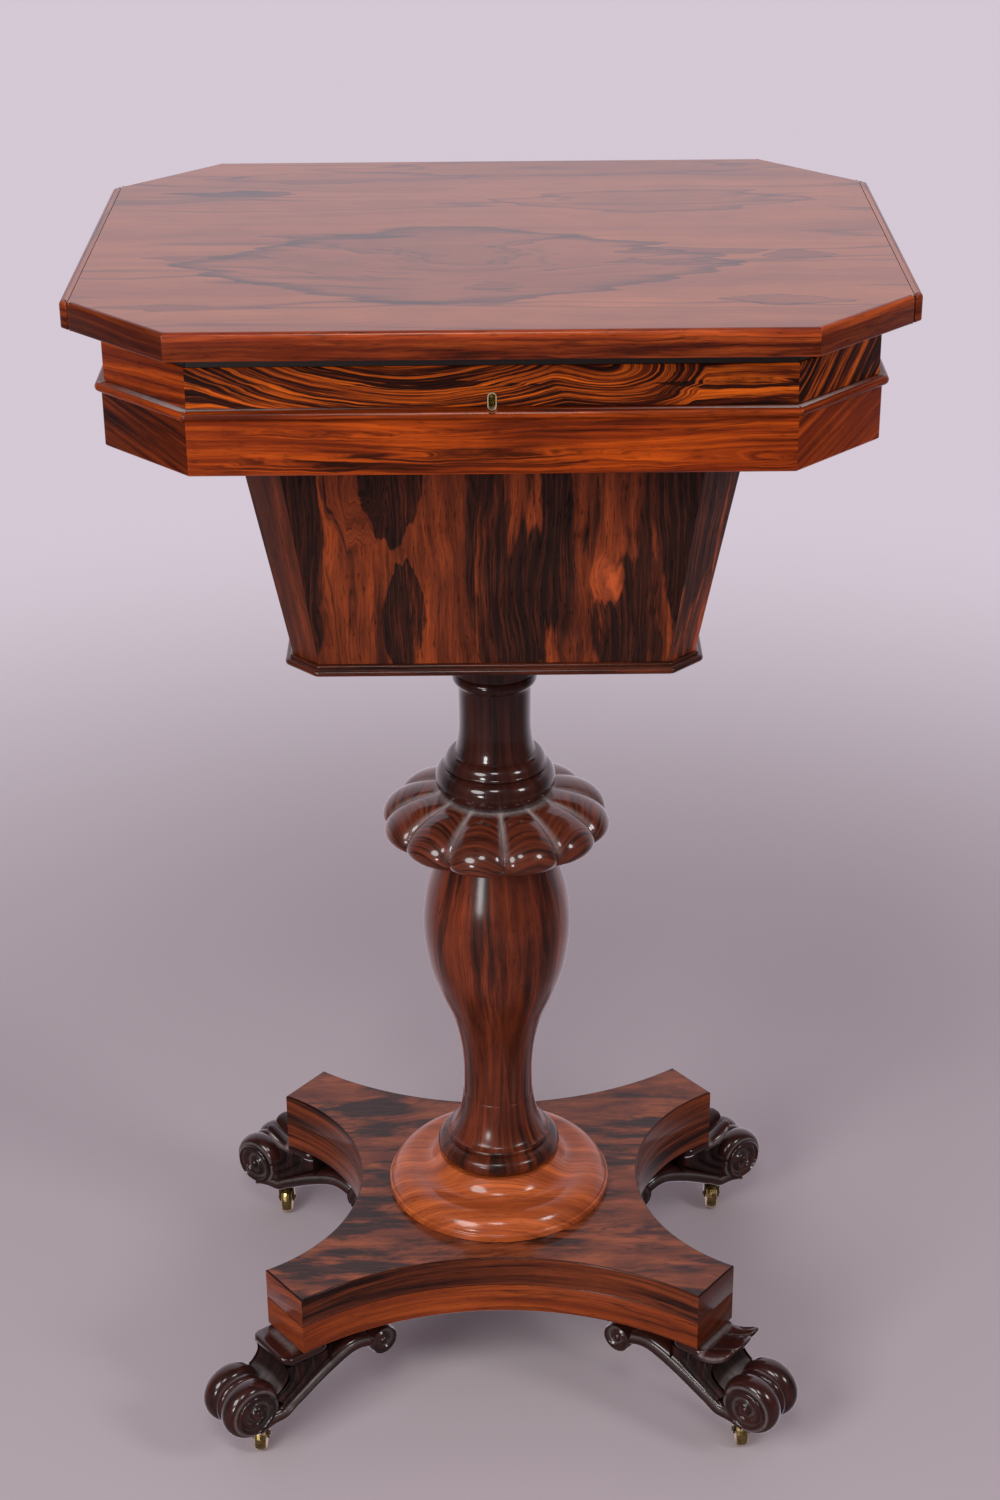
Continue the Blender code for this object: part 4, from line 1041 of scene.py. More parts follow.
@dataclass
class Finishes:
    """Every finish of the table, made once."""

    lid: Material
    edge: Material
    under: Material
    upper: Material
    lower: Material
    well: Material
    turned: Material
    baluster: Material
    collar: Material
    plinth: Material
    base_top: Material
    base_side: Material
    base_dark: Material
    carved: Material
    recess: Material
    wall: Material
    tray: Material
    brass: Material
    dull_shaded_brass: Material
    rubbed_brass: Material

    @classmethod
    def make(cls) -> Finishes:
        """Build the materials from the table's woods and metals.

        Returns:
            The finishes.
        """
        lid = Rosewood(
            "lid_rosewood", light=(0.41, 0.120, 0.034), mid=(0.225, 0.056, 0.020), dark=(0.036, 0.011, 0.008),
            ring=0.036, sway=0.040, ragged=0.018, cluster=0.26, fray=0.06, soak=4.0, spread=(0.30, 0.80),
            dark_start=0.72, dark_full=0.88, vein_ring=0.030, fibre=0.14, mottle=0.22, pores=0.18, polish=0.7,
            figures=(
                Figure(-0.019, -0.052, 0.152, 0.074, 0.045, 0.08, 0.85, (1.7, 1.05)),
                Figure(-0.011, -0.042, 0.046, 0.026, 0.012, 0.04, 0.35, (2.0, 2.0)),
                Figure(0.000, -0.094, 0.016, 0.010, 0.004, 0.20, 0.3),
                Figure(-0.085, 0.003, 0.045, 0.007, 0.006, 0.26, 0.5),
                Figure(0.108, -0.030, 0.045, 0.009, 0.006, 0.26, 0.5),
                Figure(0.096, -0.052, 0.040, 0.007, 0.006, 0.24, 0.4),
                Figure(-0.150, -0.038, 0.034, 0.007, 0.006, 0.20, 0.5),
                Figure(-0.150, 0.096, 0.048, 0.007, 0.010, 0.26, 0.5),
                Figure(-0.085, 0.132, 0.085, 0.014, 0.02, 0.10, 0.6),
                Figure(0.040, 0.150, 0.150, 0.020, 0.02, 0.08, 0.5),
                Figure(0.095, 0.075, 0.095, 0.026, 0.02, 0.07, 0.6),
                Figure(0.166, -0.038, 0.026, 0.008, 0.01, 0.20, 0.6),
                Figure(0.152, -0.122, 0.040, 0.009, 0.01, 0.16, 0.8),
                Figure(-0.160, -0.128, 0.050, 0.006, 0.01, 0.20, 0.6),
            ),
        )
        edge = Rosewood(
            "lid_edge_rosewood", light=(0.250, 0.042, 0.006), mid=(0.105, 0.013, 0.003),
            dark=(0.022, 0.005, 0.003), ring=0.005, stretch=9.0, sway=0.018, wave=0.005, fray=0.22,
            dark_start=0.54, dark_full=0.72, polish=0.5, polish_roughness=0.16, dust=1.0,
        )
        under = Rosewood(
            "lid_under_rosewood", light=(0.205, 0.060, 0.022), mid=(0.125, 0.034, 0.014),
            dark=(0.035, 0.011, 0.007), ring=0.016, stretch=3.5, sway=0.022, cluster=0.4, dark_start=0.62,
            dark_full=0.84, veins=0.4, polish=0.12,
        )
        upper = Rosewood(
            "upper_rosewood", light=(0.58, 0.100, 0.004), mid=(0.105, 0.013, 0.002), dark=(0.010, 0.003, 0.002),
            ring=0.0042, stretch=12.0, sway=0.018, wave=0.005, fray=0.26, ragged=0.004, flame=0.010,
            cluster=0.40, spread=(0.31, 0.56), dark_start=0.43, dark_full=0.55, veins=0.7, vein_ring=0.006,
            polish=0.25, dust=1.0,
            figures=(
                Figure(0.1180, 0.7420, 0.135, 0.062, 0.120, -0.02, 0.0, (2.0, 2.0)),
                Figure(0.2252, 0.7160, 0.040, 0.026, 0.050, -0.02, 0.0, (2.0, 1.8)),
                Figure(0.1300, 0.7110, 0.055, 0.003, 0.004, 0.12, 0.0),
                Figure(0.2850, 0.7110, 0.050, 0.003, 0.004, 0.14, 0.0),
            ),
        )
        lower = Rosewood(
            "lower_rosewood", light=(0.44, 0.064, 0.003), mid=(0.175, 0.020, 0.002), dark=(0.024, 0.005, 0.002),
            ring=0.0036, stretch=7.0, sway=0.014, cluster=0.60, fray=0.26, dark_start=0.50, dark_full=0.74,
            vein_ring=0.006, polish=0.25, dust=1.0, dust_color=(0.46, 0.41, 0.40),
            figures=(
                Figure(0.150, 0.6730, 0.110, 0.006, 0.006, 0.10, 0.0),
                Figure(0.280, 0.6710, 0.070, 0.006, 0.006, 0.09, 0.0),
                Figure(0.050, 0.6690, 0.050, 0.004, 0.004, 0.08, 0.0),
                Figure(0.060, 0.6860, 0.080, 0.003, 0.003, 0.06, 0.0),
            ),
        )
        well = Rosewood(
            "well_rosewood", light=(0.285, 0.050, 0.012), mid=(0.105, 0.021, 0.008), dark=(0.019, 0.008, 0.006),
            ring=0.008, stretch=9.0, sway=0.026, wave=0.006, ragged=0.014, cluster=0.70, fray=0.36, ember=0.55,
            dark_start=0.54, dark_full=0.74, fibre=0.42, mottle=0.46, pores=0.55, polish=0.15, dust=0.8,
            figures=(
                Figure(0.653, 0.0440, 0.062, 0.019, 0.0, 0.34, 0.0, (2.2, 1.2)),
                Figure(0.548, 0.0490, 0.044, 0.012, 0.0, 0.34, 0.0, (2.2, 1.4)),
                Figure(0.620, -0.0060, 0.110, 0.016, 0.0, 0.30, 0.0, (4.0, 1.5), 0.5),
                Figure(0.640, 0.0230, 0.040, 0.020, 0.040, 0.06, 0.0, (2.0, 2.0), 0.6),
                Figure(0.600, 0.1560, 0.200, 0.072, 0.0, 0.19, 0.0, (6.0, 6.0), 0.3),
                Figure(0.560, 0.1180, 0.060, 0.014, 0.0, 0.20, 0.0, (2.0, 1.5), 0.4),
                Figure(0.620, 0.1330, 0.080, 0.010, 0.0, 0.20, 0.0, (2.0, 1.5), 0.4),
                Figure(0.545, 0.1700, 0.055, 0.018, 0.0, 0.24, 0.0, (2.0, 1.5), 0.4),
                Figure(0.640, 0.2020, 0.090, 0.016, 0.0, 0.30, 0.0, (3.0, 1.4), 0.4),
                Figure(0.640, 0.1720, 0.030, 0.010, 0.0, -0.20, 0.0, (2.0, 2.0), 0.6),
                Figure(0.577, 0.1610, 0.017, 0.011, 0.006, -0.30, 0.0, (2.0, 2.0), 0.7, 0.9),
            ),
        )
        dark = Rosewood(
            "turned_rosewood", light=(0.052, 0.013, 0.008), mid=(0.028, 0.008, 0.006),
            dark=(0.010, 0.005, 0.004), ring=0.006, stretch=10.0, sway=0.006, roughness=0.26, polish=0.9,
            polish_roughness=0.09, dust=1.0,
        )
        strips = Rosewood(
            "baluster_rosewood", light=(0.190, 0.033, 0.010), mid=(0.088, 0.017, 0.007),
            dark=(0.017, 0.007, 0.005), stretch=9.0, sway=0.016, wave=0.006, cluster=0.8, fray=0.30,
            dark_start=0.50, dark_full=0.72, mottle=0.55, polish_roughness=0.19, dust=0.9,
        )
        lobes = Rosewood(
            "collar_rosewood", light=(0.170, 0.036, 0.015), mid=(0.085, 0.019, 0.010),
            dark=(0.014, 0.006, 0.004), ring=0.0030, stretch=12.0, sway=0.004, cluster=0.3, polish=0.9,
            polish_roughness=0.11, dust=1.0,
        )
        plinth = Rosewood(
            "plinth_rosewood", light=(0.60, 0.140, 0.032), mid=(0.33, 0.066, 0.017), dark=(0.085, 0.018, 0.007),
            ring=0.008, stretch=8.0, sway=0.014, cluster=0.3, dark_start=0.58, dark_full=0.80, veins=0.3,
            polish=0.7, polish_roughness=0.14, dust=0.8,
        )
        base_top = Rosewood(
            "base_rosewood", light=(0.310, 0.078, 0.026), mid=(0.140, 0.032, 0.012), dark=(0.013, 0.006, 0.004),
            ring=0.010, stretch=22.0, sway=0.044, wave=0.010, cluster=1.0, fray=0.26, dark_start=0.47,
            dark_full=0.62, polish=0.4, dust=0.8,
        )
        base_side = Rosewood(
            "base_orange_rosewood", light=(0.31, 0.058, 0.010), mid=(0.165, 0.028, 0.007),
            dark=(0.030, 0.009, 0.005), ring=0.005, stretch=7.0, sway=0.012, cluster=0.4, dark_start=0.60,
            dark_full=0.76, polish=0.3,
        )
        base_dark = Rosewood(
            "base_dark_rosewood", light=(0.225, 0.048, 0.015), mid=(0.085, 0.018, 0.007),
            dark=(0.012, 0.005, 0.004), ring=0.0045, dark_start=0.48, dark_full=0.62, stretch=7.0, sway=0.010,
            polish=0.3,
        )
        carved = Rosewood(
            "carved_rosewood", light=(0.052, 0.0125, 0.0085), mid=(0.027, 0.0080, 0.0065),
            dark=(0.011, 0.0055, 0.0048), ring=0.005, stretch=10.0, sway=0.006, roughness=0.28, polish=1.0,
            polish_roughness=0.15, dust=0.8, dust_color=(0.27, 0.23, 0.22),
        )
        # The foot's sunk block: the carved wood with less polish, its colours darker as painted shade.
        recess = replace(
            carved, name="recess_rosewood", light=(0.040, 0.0105, 0.0075), mid=(0.020, 0.0070, 0.0060),
            roughness=0.55, polish=0.1, polish_roughness=0.30,
        )
        # The case's outer lip, painted near-black as shade under the lid.
        lip = (0.2018, 0.1505, 0.2018 + 0.1505 - 0.0468)
        woods = (lid, edge, under, upper, lower, well, dark, strips, lobes, plinth)
        woods += (base_top, base_side, base_dark, carved, recess)
        plain = (
            Mahogany("case_mahogany", (0.26, 0.098, 0.044), (0.15, 0.052, 0.024), lip=lip),
            Mahogany("tray_mahogany", (0.30, 0.120, 0.055), (0.19, 0.070, 0.032)),
            Brass("aged_brass"),
            # Tarnished brass for the caster plates and forks, darkened further as painted shade under the feet.
            Brass("dull_shaded_brass", (0.38, 0.255, 0.10), (0.075, 0.05, 0.026)),
            Brass("rubbed_brass", (0.88, 0.74, 0.52), (0.50, 0.38, 0.22), 0.50),
        )
        return cls(*(finish.build() for finish in woods + plain))


@dataclass
class Lid:
    """The lid: a board with rounded edges between two end lippings.

    Each strip of rubbed polish and highlight is given by its first and last row along the edge, and how much lighter
    it is
    made: partly rubbed polish, partly a painted highlight along the rounded arris.
    """

    finishes: Finishes
    size: Size = (0.2220, 0.1707, 0.0586)
    bottom: float = 0.7300
    top: float = 0.7450
    lipping: float = 0.0050
    seam: float = 0.0001
    corner_round: float = 0.0012
    top_round: float = 0.0024
    bottom_round: float = 0.0012
    seam_share: float = 0.06
    pocket_depth: float = 0.0040
    seed: float = 1.0
    lipping_seed: float = 4.0
    # Levels below the top of the two rows on the flat edge that bound the lighter band: rubbed polish and painted
    # highlight.
    worn_drops: Pair = (0.0066, 0.0042)
    wear: tuple[tuple[int, int, float], ...] = ((0, 5, 0.3), (4, 6, 0.0), (5, 7, 0.25), (6, 14, 0.9))
    side_tones: tuple[float, ...] = (0.0, -0.15, -0.2, -0.2, -0.1, -0.2, -0.2, -0.45)
    lipping_tones: tuple[float, ...] = (-0.2, -0.2, -0.2, -0.2)

    def edge(self) -> Array:
        """The edge's profile: up a small round, a flat with two more levels and a larger round.

        Returns:
            (offset, level) pairs.
        """
        low = arc((-self.bottom_round, self.bottom + self.bottom_round), (self.bottom_round,) * 2, -90, 0, 4)
        flat = [(0.0, self.top - drop) for drop in self.worn_drops]
        high = arc((-self.top_round, self.top - self.top_round), (self.top_round,) * 2, 0, 90, 6)
        return np.concatenate([low, flat, high])

    def board(
        self, corners: Array, scale: tuple[float, ...], panel: float, tones: tuple[float, ...], turn: bool
    ) -> list[Sheet]:
        """A closed board: an outline carried up the edge's profile and closed with two flat faces.

        Args:
            corners: the corners of its outline.
            scale: how much of the edge's profile each side has.
            panel: the seed of its wood.
            tones: how much lighter each side is. The lower and upper arris of a side are lighter still, partly
                rubbed and partly a painted highlight.
            turn: whether the grain runs from front to back.

        Returns:
            Its sheets.
        """
        outline = Outline.rounded(corners, self.corner_round)
        rings = [outline.ring(level, offset, scale) for offset, level in self.edge()]
        faces = [*cap(rings[0], False, LidFinish.UNDER, panel), *cap(rings[-1], True, LidFinish.TOP, panel)]
        if turn:
            for face in faces:
                face.grain = face.grain[..., ::-1].copy()
        sides = []
        for i, side in enumerate(loft(rings)):
            # Strips along each side are painted lighter: rubbed polish, and a highlight where the rounded arris
            # catches the light.
            for first, last, worn in self.wear:
                rows = slice(first, last)
                tone = tones[i] + worn * (1 + 2 * tones[i])
                sides.append(Sheet(side.points[rows], side.grain[rows], panel + i, 0.0, LidFinish.EDGE, tone))
        return [*sides, *faces]

    def build(self) -> None:
        """Make the board, with the pockets of its hinges and lock plate, and the two lippings."""
        x, y, c = self.size
        seam_x = x - self.lipping - self.seam
        seam_y = x + y - c - seam_x
        right = [(x - c, -y), (seam_x, -seam_y), (seam_x, seam_y), (x - c, y)]
        corners = np.array([(-right[0][0], -y), *right, *((-a, b) for a, b in reversed(right[1:]))])
        share = self.seam_share
        sheets = self.board(corners, (1, 1, share, 1, 1, 1, share, 1), self.seed, self.side_tones, False)
        board = mesh_of("lid_board_shape", sheets)
        pockets = []
        room = Vector((CLEARANCE, CLEARANCE, CLEARANCE))
        for node in ("hinge_left_lid_leaf", "hinge_right_lid_leaf", "lock_link_plate"):
            low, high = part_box(node)
            start = low - room
            pockets.append(block((start.x, start.y, self.bottom - self.pocket_depth), tuple(high + room)))
        woods = [self.finishes.lid, self.finishes.edge, self.finishes.under]
        show("lid_top_board", carve(board, pockets), woods, ["lid_board"], "lid")
        inner = x - self.lipping
        inner_y = x + y - c - inner
        for side, sign in (("left", -1), ("right", 1)):
            ends = [(inner, -inner_y), (x, -(y - c)), (x, y - c), (inner, inner_y)]
            shape = np.array([(sign * a, b) for a, b in ends[::sign]])
            sheets = self.board(shape, (1, 1, 1, share), self.lipping_seed + sign, self.lipping_tones, True)
            show(f"lid_edge_{side}", sheets, woods, [f"lid_lipping_{side}"], "lid")


@dataclass
class Case:
    """The case below the lid: two veneered bands with a nosed moulding between them."""

    finishes: Finishes
    upper: Size = (0.2031, 0.1518, 0.04753)
    corner_round: float = 0.0007
    step: float = 0.0016
    reach: float = 0.0051
    nose: float = 0.0025
    carcass_gap: float = 0.0010
    bottom: float = 0.6634
    moulding_bottom: float = 0.6937
    moulding_top: float = 0.6987
    facing_top: float = 0.7209
    upper_ease: float = 0.0007
    lower_ease: float = 0.0008
    key_depths: Pair = (-0.17, -0.148)
    # How much lighter the eased edges are painted: rubbed polish and a highlight where the arris catches the light.
    worn: float = 0.7
    plain_panel: int = 7
    upper_turns: tuple[float, ...] = (0.0, 52.0, 0.0, 52.0, 0.0, 52.0, 0.0, 4.0)
    lower_turns: tuple[float, ...] = (0.0, 24.0, 0.0, 24.0, 0.0, 24.0, 0.0, -12.0)
    upper_tones: tuple[float, ...] = (0.0, 0.05, 0.0, 0.0, 0.0, 0.0, 0.0, -0.05)
    lower_tones: tuple[float, ...] = (0.0, -0.10, 0.0, 0.0, 0.0, 0.0, 0.0, -0.60)
    moulding_tone: float = -0.25
    lower_seed: float = 20.0
    moulding_seed: float = 40.0

    def outline(self) -> Outline:
        """The outline of the upper band's face."""
        return Outline.rounded(canted(*self.upper), self.corner_round)

    def back(self, rings: list[Ring], dust: float = 0.0) -> list[Sheet]:
        """Close a band behind its outer rings: an upper rim, a flat back and a lower rim.

        Args:
            rings: the rings of its outer face, from the bottom up.
            dust: the dust on its upper rim.

        Returns:
            Its sheets.
        """
        levels = [ring.runs[0][0, 2] for ring in (rings[-1], rings[0])]
        backs = [self.outline().ring(level, -self.carcass_gap) for level in levels]
        return [*bridge(backs[0], rings[-1], True, dust=dust), *loft(backs), *bridge(backs[1], rings[0], False)]

    def band(self, offset: float, low: float, high: float, ease: float, tones: tuple[float, ...]) -> list[Sheet]:
        """A closed veneer band: its outer face with eased edges painted lighter, as rubbing and as a highlight on
        the arris, its two rims and its back.

        Args:
            offset: how far its face stands out from the upper band's.
            low, high: its levels.
            ease: the width of its eased edges.
            tones: how much lighter each of its panels is.

        Returns:
            Its sheets.
        """
        outline = self.outline()
        edge = ((offset - ease, low), (offset, low + ease), (offset, high - ease), (offset - ease, high))
        rings = [outline.ring(level, out) for out, level in edge]
        faces = []
        for sheet in loft(rings):
            # The eased top and bottom rows are painted lighter: rubbed polish and a highlight on the arris.
            for first, worn in enumerate((self.worn, 0.0, self.worn)):
                rows = slice(first, first + 2)
                tone = tones[int(sheet.panel)] + worn
                faces.append(Sheet(sheet.points[rows], sheet.grain[rows], sheet.panel, 0.0, 0, tone))
        return [*faces, *self.back(rings)]

    def turn_grain(self, sheets: list[Sheet], angles: tuple[float, ...]) -> None:
        """Turn the grain of a band.

        Args:
            sheets: the band's sheets.
            angles: each panel's angle in degrees.
        """
        for sheet in sheets:
            turn = math.radians(angles[int(sheet.panel)])
            sheet.grain = swung(sheet.grain, math.cos(turn), math.sin(turn))

    def keyhole(self) -> Mesh:
        """The keyhole as a cutter: an upright slot with round ends, run through the face.

        Returns:
            Its mesh.
        """
        low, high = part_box("keyhole_liner")
        radius = (high.x - low.x) / 2 + CLEARANCE
        middle = ((low.x + high.x) / 2, (low.z + high.z) / 2)
        rise = (high.z - low.z) / 2 + CLEARANCE - radius
        upper = arc((middle[0], middle[1] + rise), (radius, radius), 0, 180, 12)
        lower = arc((middle[0], middle[1] - rise), (radius, radius), 180, 360, 12)
        outline = np.concatenate([upper, lower, upper[:1]])
        rows = [np.insert(outline, 1, depth, axis=1) for depth in self.key_depths]
        points = np.stack(rows)
        side = Sheet(points, points[..., :2].copy())
        return mesh_of("keyhole_cutter", [side, *(fan(row, row[:, :2]) for row in rows)])

    def build(self) -> None:
        """Make the upper band, the lower band and the moulding between them, whose nose is half an ellipse."""
        upper = self.band(0.0, self.moulding_top + CLEARANCE, self.facing_top, self.upper_ease, self.upper_tones)
        self.turn_grain(upper, self.upper_turns)
        for sheet in upper:
            sheet.finish = BandFinish.PLAIN if sheet.panel == self.plain_panel else BandFinish.FIGURED
        mesh = carve(mesh_of("upper_band_shape", upper), [self.keyhole()])
        woods = [self.finishes.upper, self.finishes.lower]
        show("upper_band", mesh, woods, ["upper_frieze"])
        top = self.moulding_bottom - CLEARANCE
        lower = self.band(self.step, self.bottom, top, self.lower_ease, self.lower_tones)
        self.turn_grain(lower, self.lower_turns)
        for sheet in lower:
            sheet.panel += self.lower_seed
        show("lower_band", lower, [self.finishes.lower], ["lower_frieze"])
        outline = self.outline()
        middle = (self.moulding_bottom + self.moulding_top) / 2
        nose = arc((self.reach - self.nose, middle), (self.nose, self.moulding_top - middle), -90, 90, 8)
        rings = [outline.ring(level, offset) for offset, level in nose]
        sheets = [*loft(rings), *self.back(rings, dust=1.0)]
        for sheet in sheets:
            sheet.tone = self.moulding_tone
            sheet.panel += self.moulding_seed
        mesh = carve(mesh_of("moulding_shape", sheets), [self.keyhole()])
        show("nosed_moulding", mesh, [self.finishes.lower], ["frieze_moulding"])


@dataclass
class Well:
    """The tapered well: eight veneered boards on a moulded base board."""

    finishes: Finishes
    head: Size = (0.1405, 0.1020, 0.0240)
    foot: Size = (0.1141, 0.0756, 0.0154)
    edge_round: float = 0.0006
    wall: float = 0.0080
    bottom: float = 0.5218
    top: float = 0.6661
    base_bottom: float = 0.5156
    base_top: float = 0.5215
    base_round: float = 0.0010
    base_reach: float = 0.0045
    base_tone: float = -0.45
    lower_bead: Pair = (0.0016, 0.0018)
    upper_bead: Pair = (0.0010, 0.0011)
    upper_share: float = 0.42
    ledge_dust: float = 0.08
    edge_dust: float = 0.5
    joint: float = 0.45
    leaf_seed: float = 11.0
    cant_tones: Pair = (1.0, -0.38)

    def halved(self, face: Sheet) -> list[Sheet]:
        """Cut a face at its upright veneer joint.

        Args:
            face: the face.

        Returns:
            Two leaves with their own seeds.
        """
        half = face.points.shape[1] // 2
        middle = {}
        for name in ("points", "grain"):
            rows = getattr(face, name)
            middle[name] = rows[:, half - 1 : half] * (1 - self.joint) + rows[:, half : half + 1] * self.joint
        left, right = (
            [np.concatenate([getattr(face, name)[:, :half], middle[name]], axis=1) for name in middle],
            [np.concatenate([middle[name], getattr(face, name)[:, half:]], axis=1) for name in middle],
        )
        still = np.zeros((2, 1))
        return [
            Sheet(*left, face.panel, np.hstack([face.dust[:, :half], still])),
            Sheet(*right, face.panel + self.leaf_seed, np.hstack([still, face.dust[:, half:]])),
        ]

    def build(self) -> None:
        """Make the shell of the well, straight from foot to head, and its base board with two half-round beads."""
        sizes = (self.foot, self.head, inset(self.head, self.wall), inset(self.foot, self.wall))
        outlines = [Outline.rounded(canted(*size), self.edge_round) for size in sizes]
        levels = (self.bottom, self.top, self.top, self.bottom)
        rings = [outline.ring(level) for outline, level in zip(outlines, levels)]
        outside, inside = rings[:2], rings[2:]
        faces = loft(outside, upright=True)
        for sheet in faces:
            sheet.dust = np.zeros(sheet.points.shape[:2])
            # Dust-coloured lines down the outer corners of the boards, partly dust and partly a painted highlight on
            # the arrises.
            sheet.dust[:, [0, -1]] = self.edge_dust
        faces[1].tone, faces[7].tone = self.cant_tones
        sheets = [
            *self.halved(faces[0]),
            *faces[1:],
            *bridge(inside[0], outside[1], True, WellFinish.INSIDE),
            *loft(inside, upright=True, finish=WellFinish.INSIDE),
            *bridge(inside[1], outside[0], False, WellFinish.INSIDE),
        ]
        nodes = [f"well_{side}" for side in SIDES]
        show("well_shell", sheets, [self.finishes.well, self.finishes.tray], nodes)
        foot = Outline.rounded(canted(*self.foot), self.base_round)
        reach = self.base_reach
        (low_x, low_z), (high_x, high_z) = self.lower_bead, self.upper_bead
        lower = arc((reach - low_x, self.base_bottom + low_z), self.lower_bead, -90, 90, 6)
        upper = arc((reach * self.upper_share - high_x, self.base_top - high_z), self.upper_bead, -90, 90, 5)
        rings = [foot.ring(level, offset) for offset, level in np.concatenate([lower, upper])]
        sides = loft(rings)
        ledge = np.zeros((len(rings), 1))
        ledge[len(lower) - 1 : len(lower) + 1] = self.ledge_dust
        for sheet in sides:
            sheet.dust = ledge
            sheet.tone = self.base_tone
        sheets = [*sides, *cap(rings[0], False), *cap(rings[-1], True)]
        show("well_base_board", sheets, [self.finishes.baluster], ["well_base"])


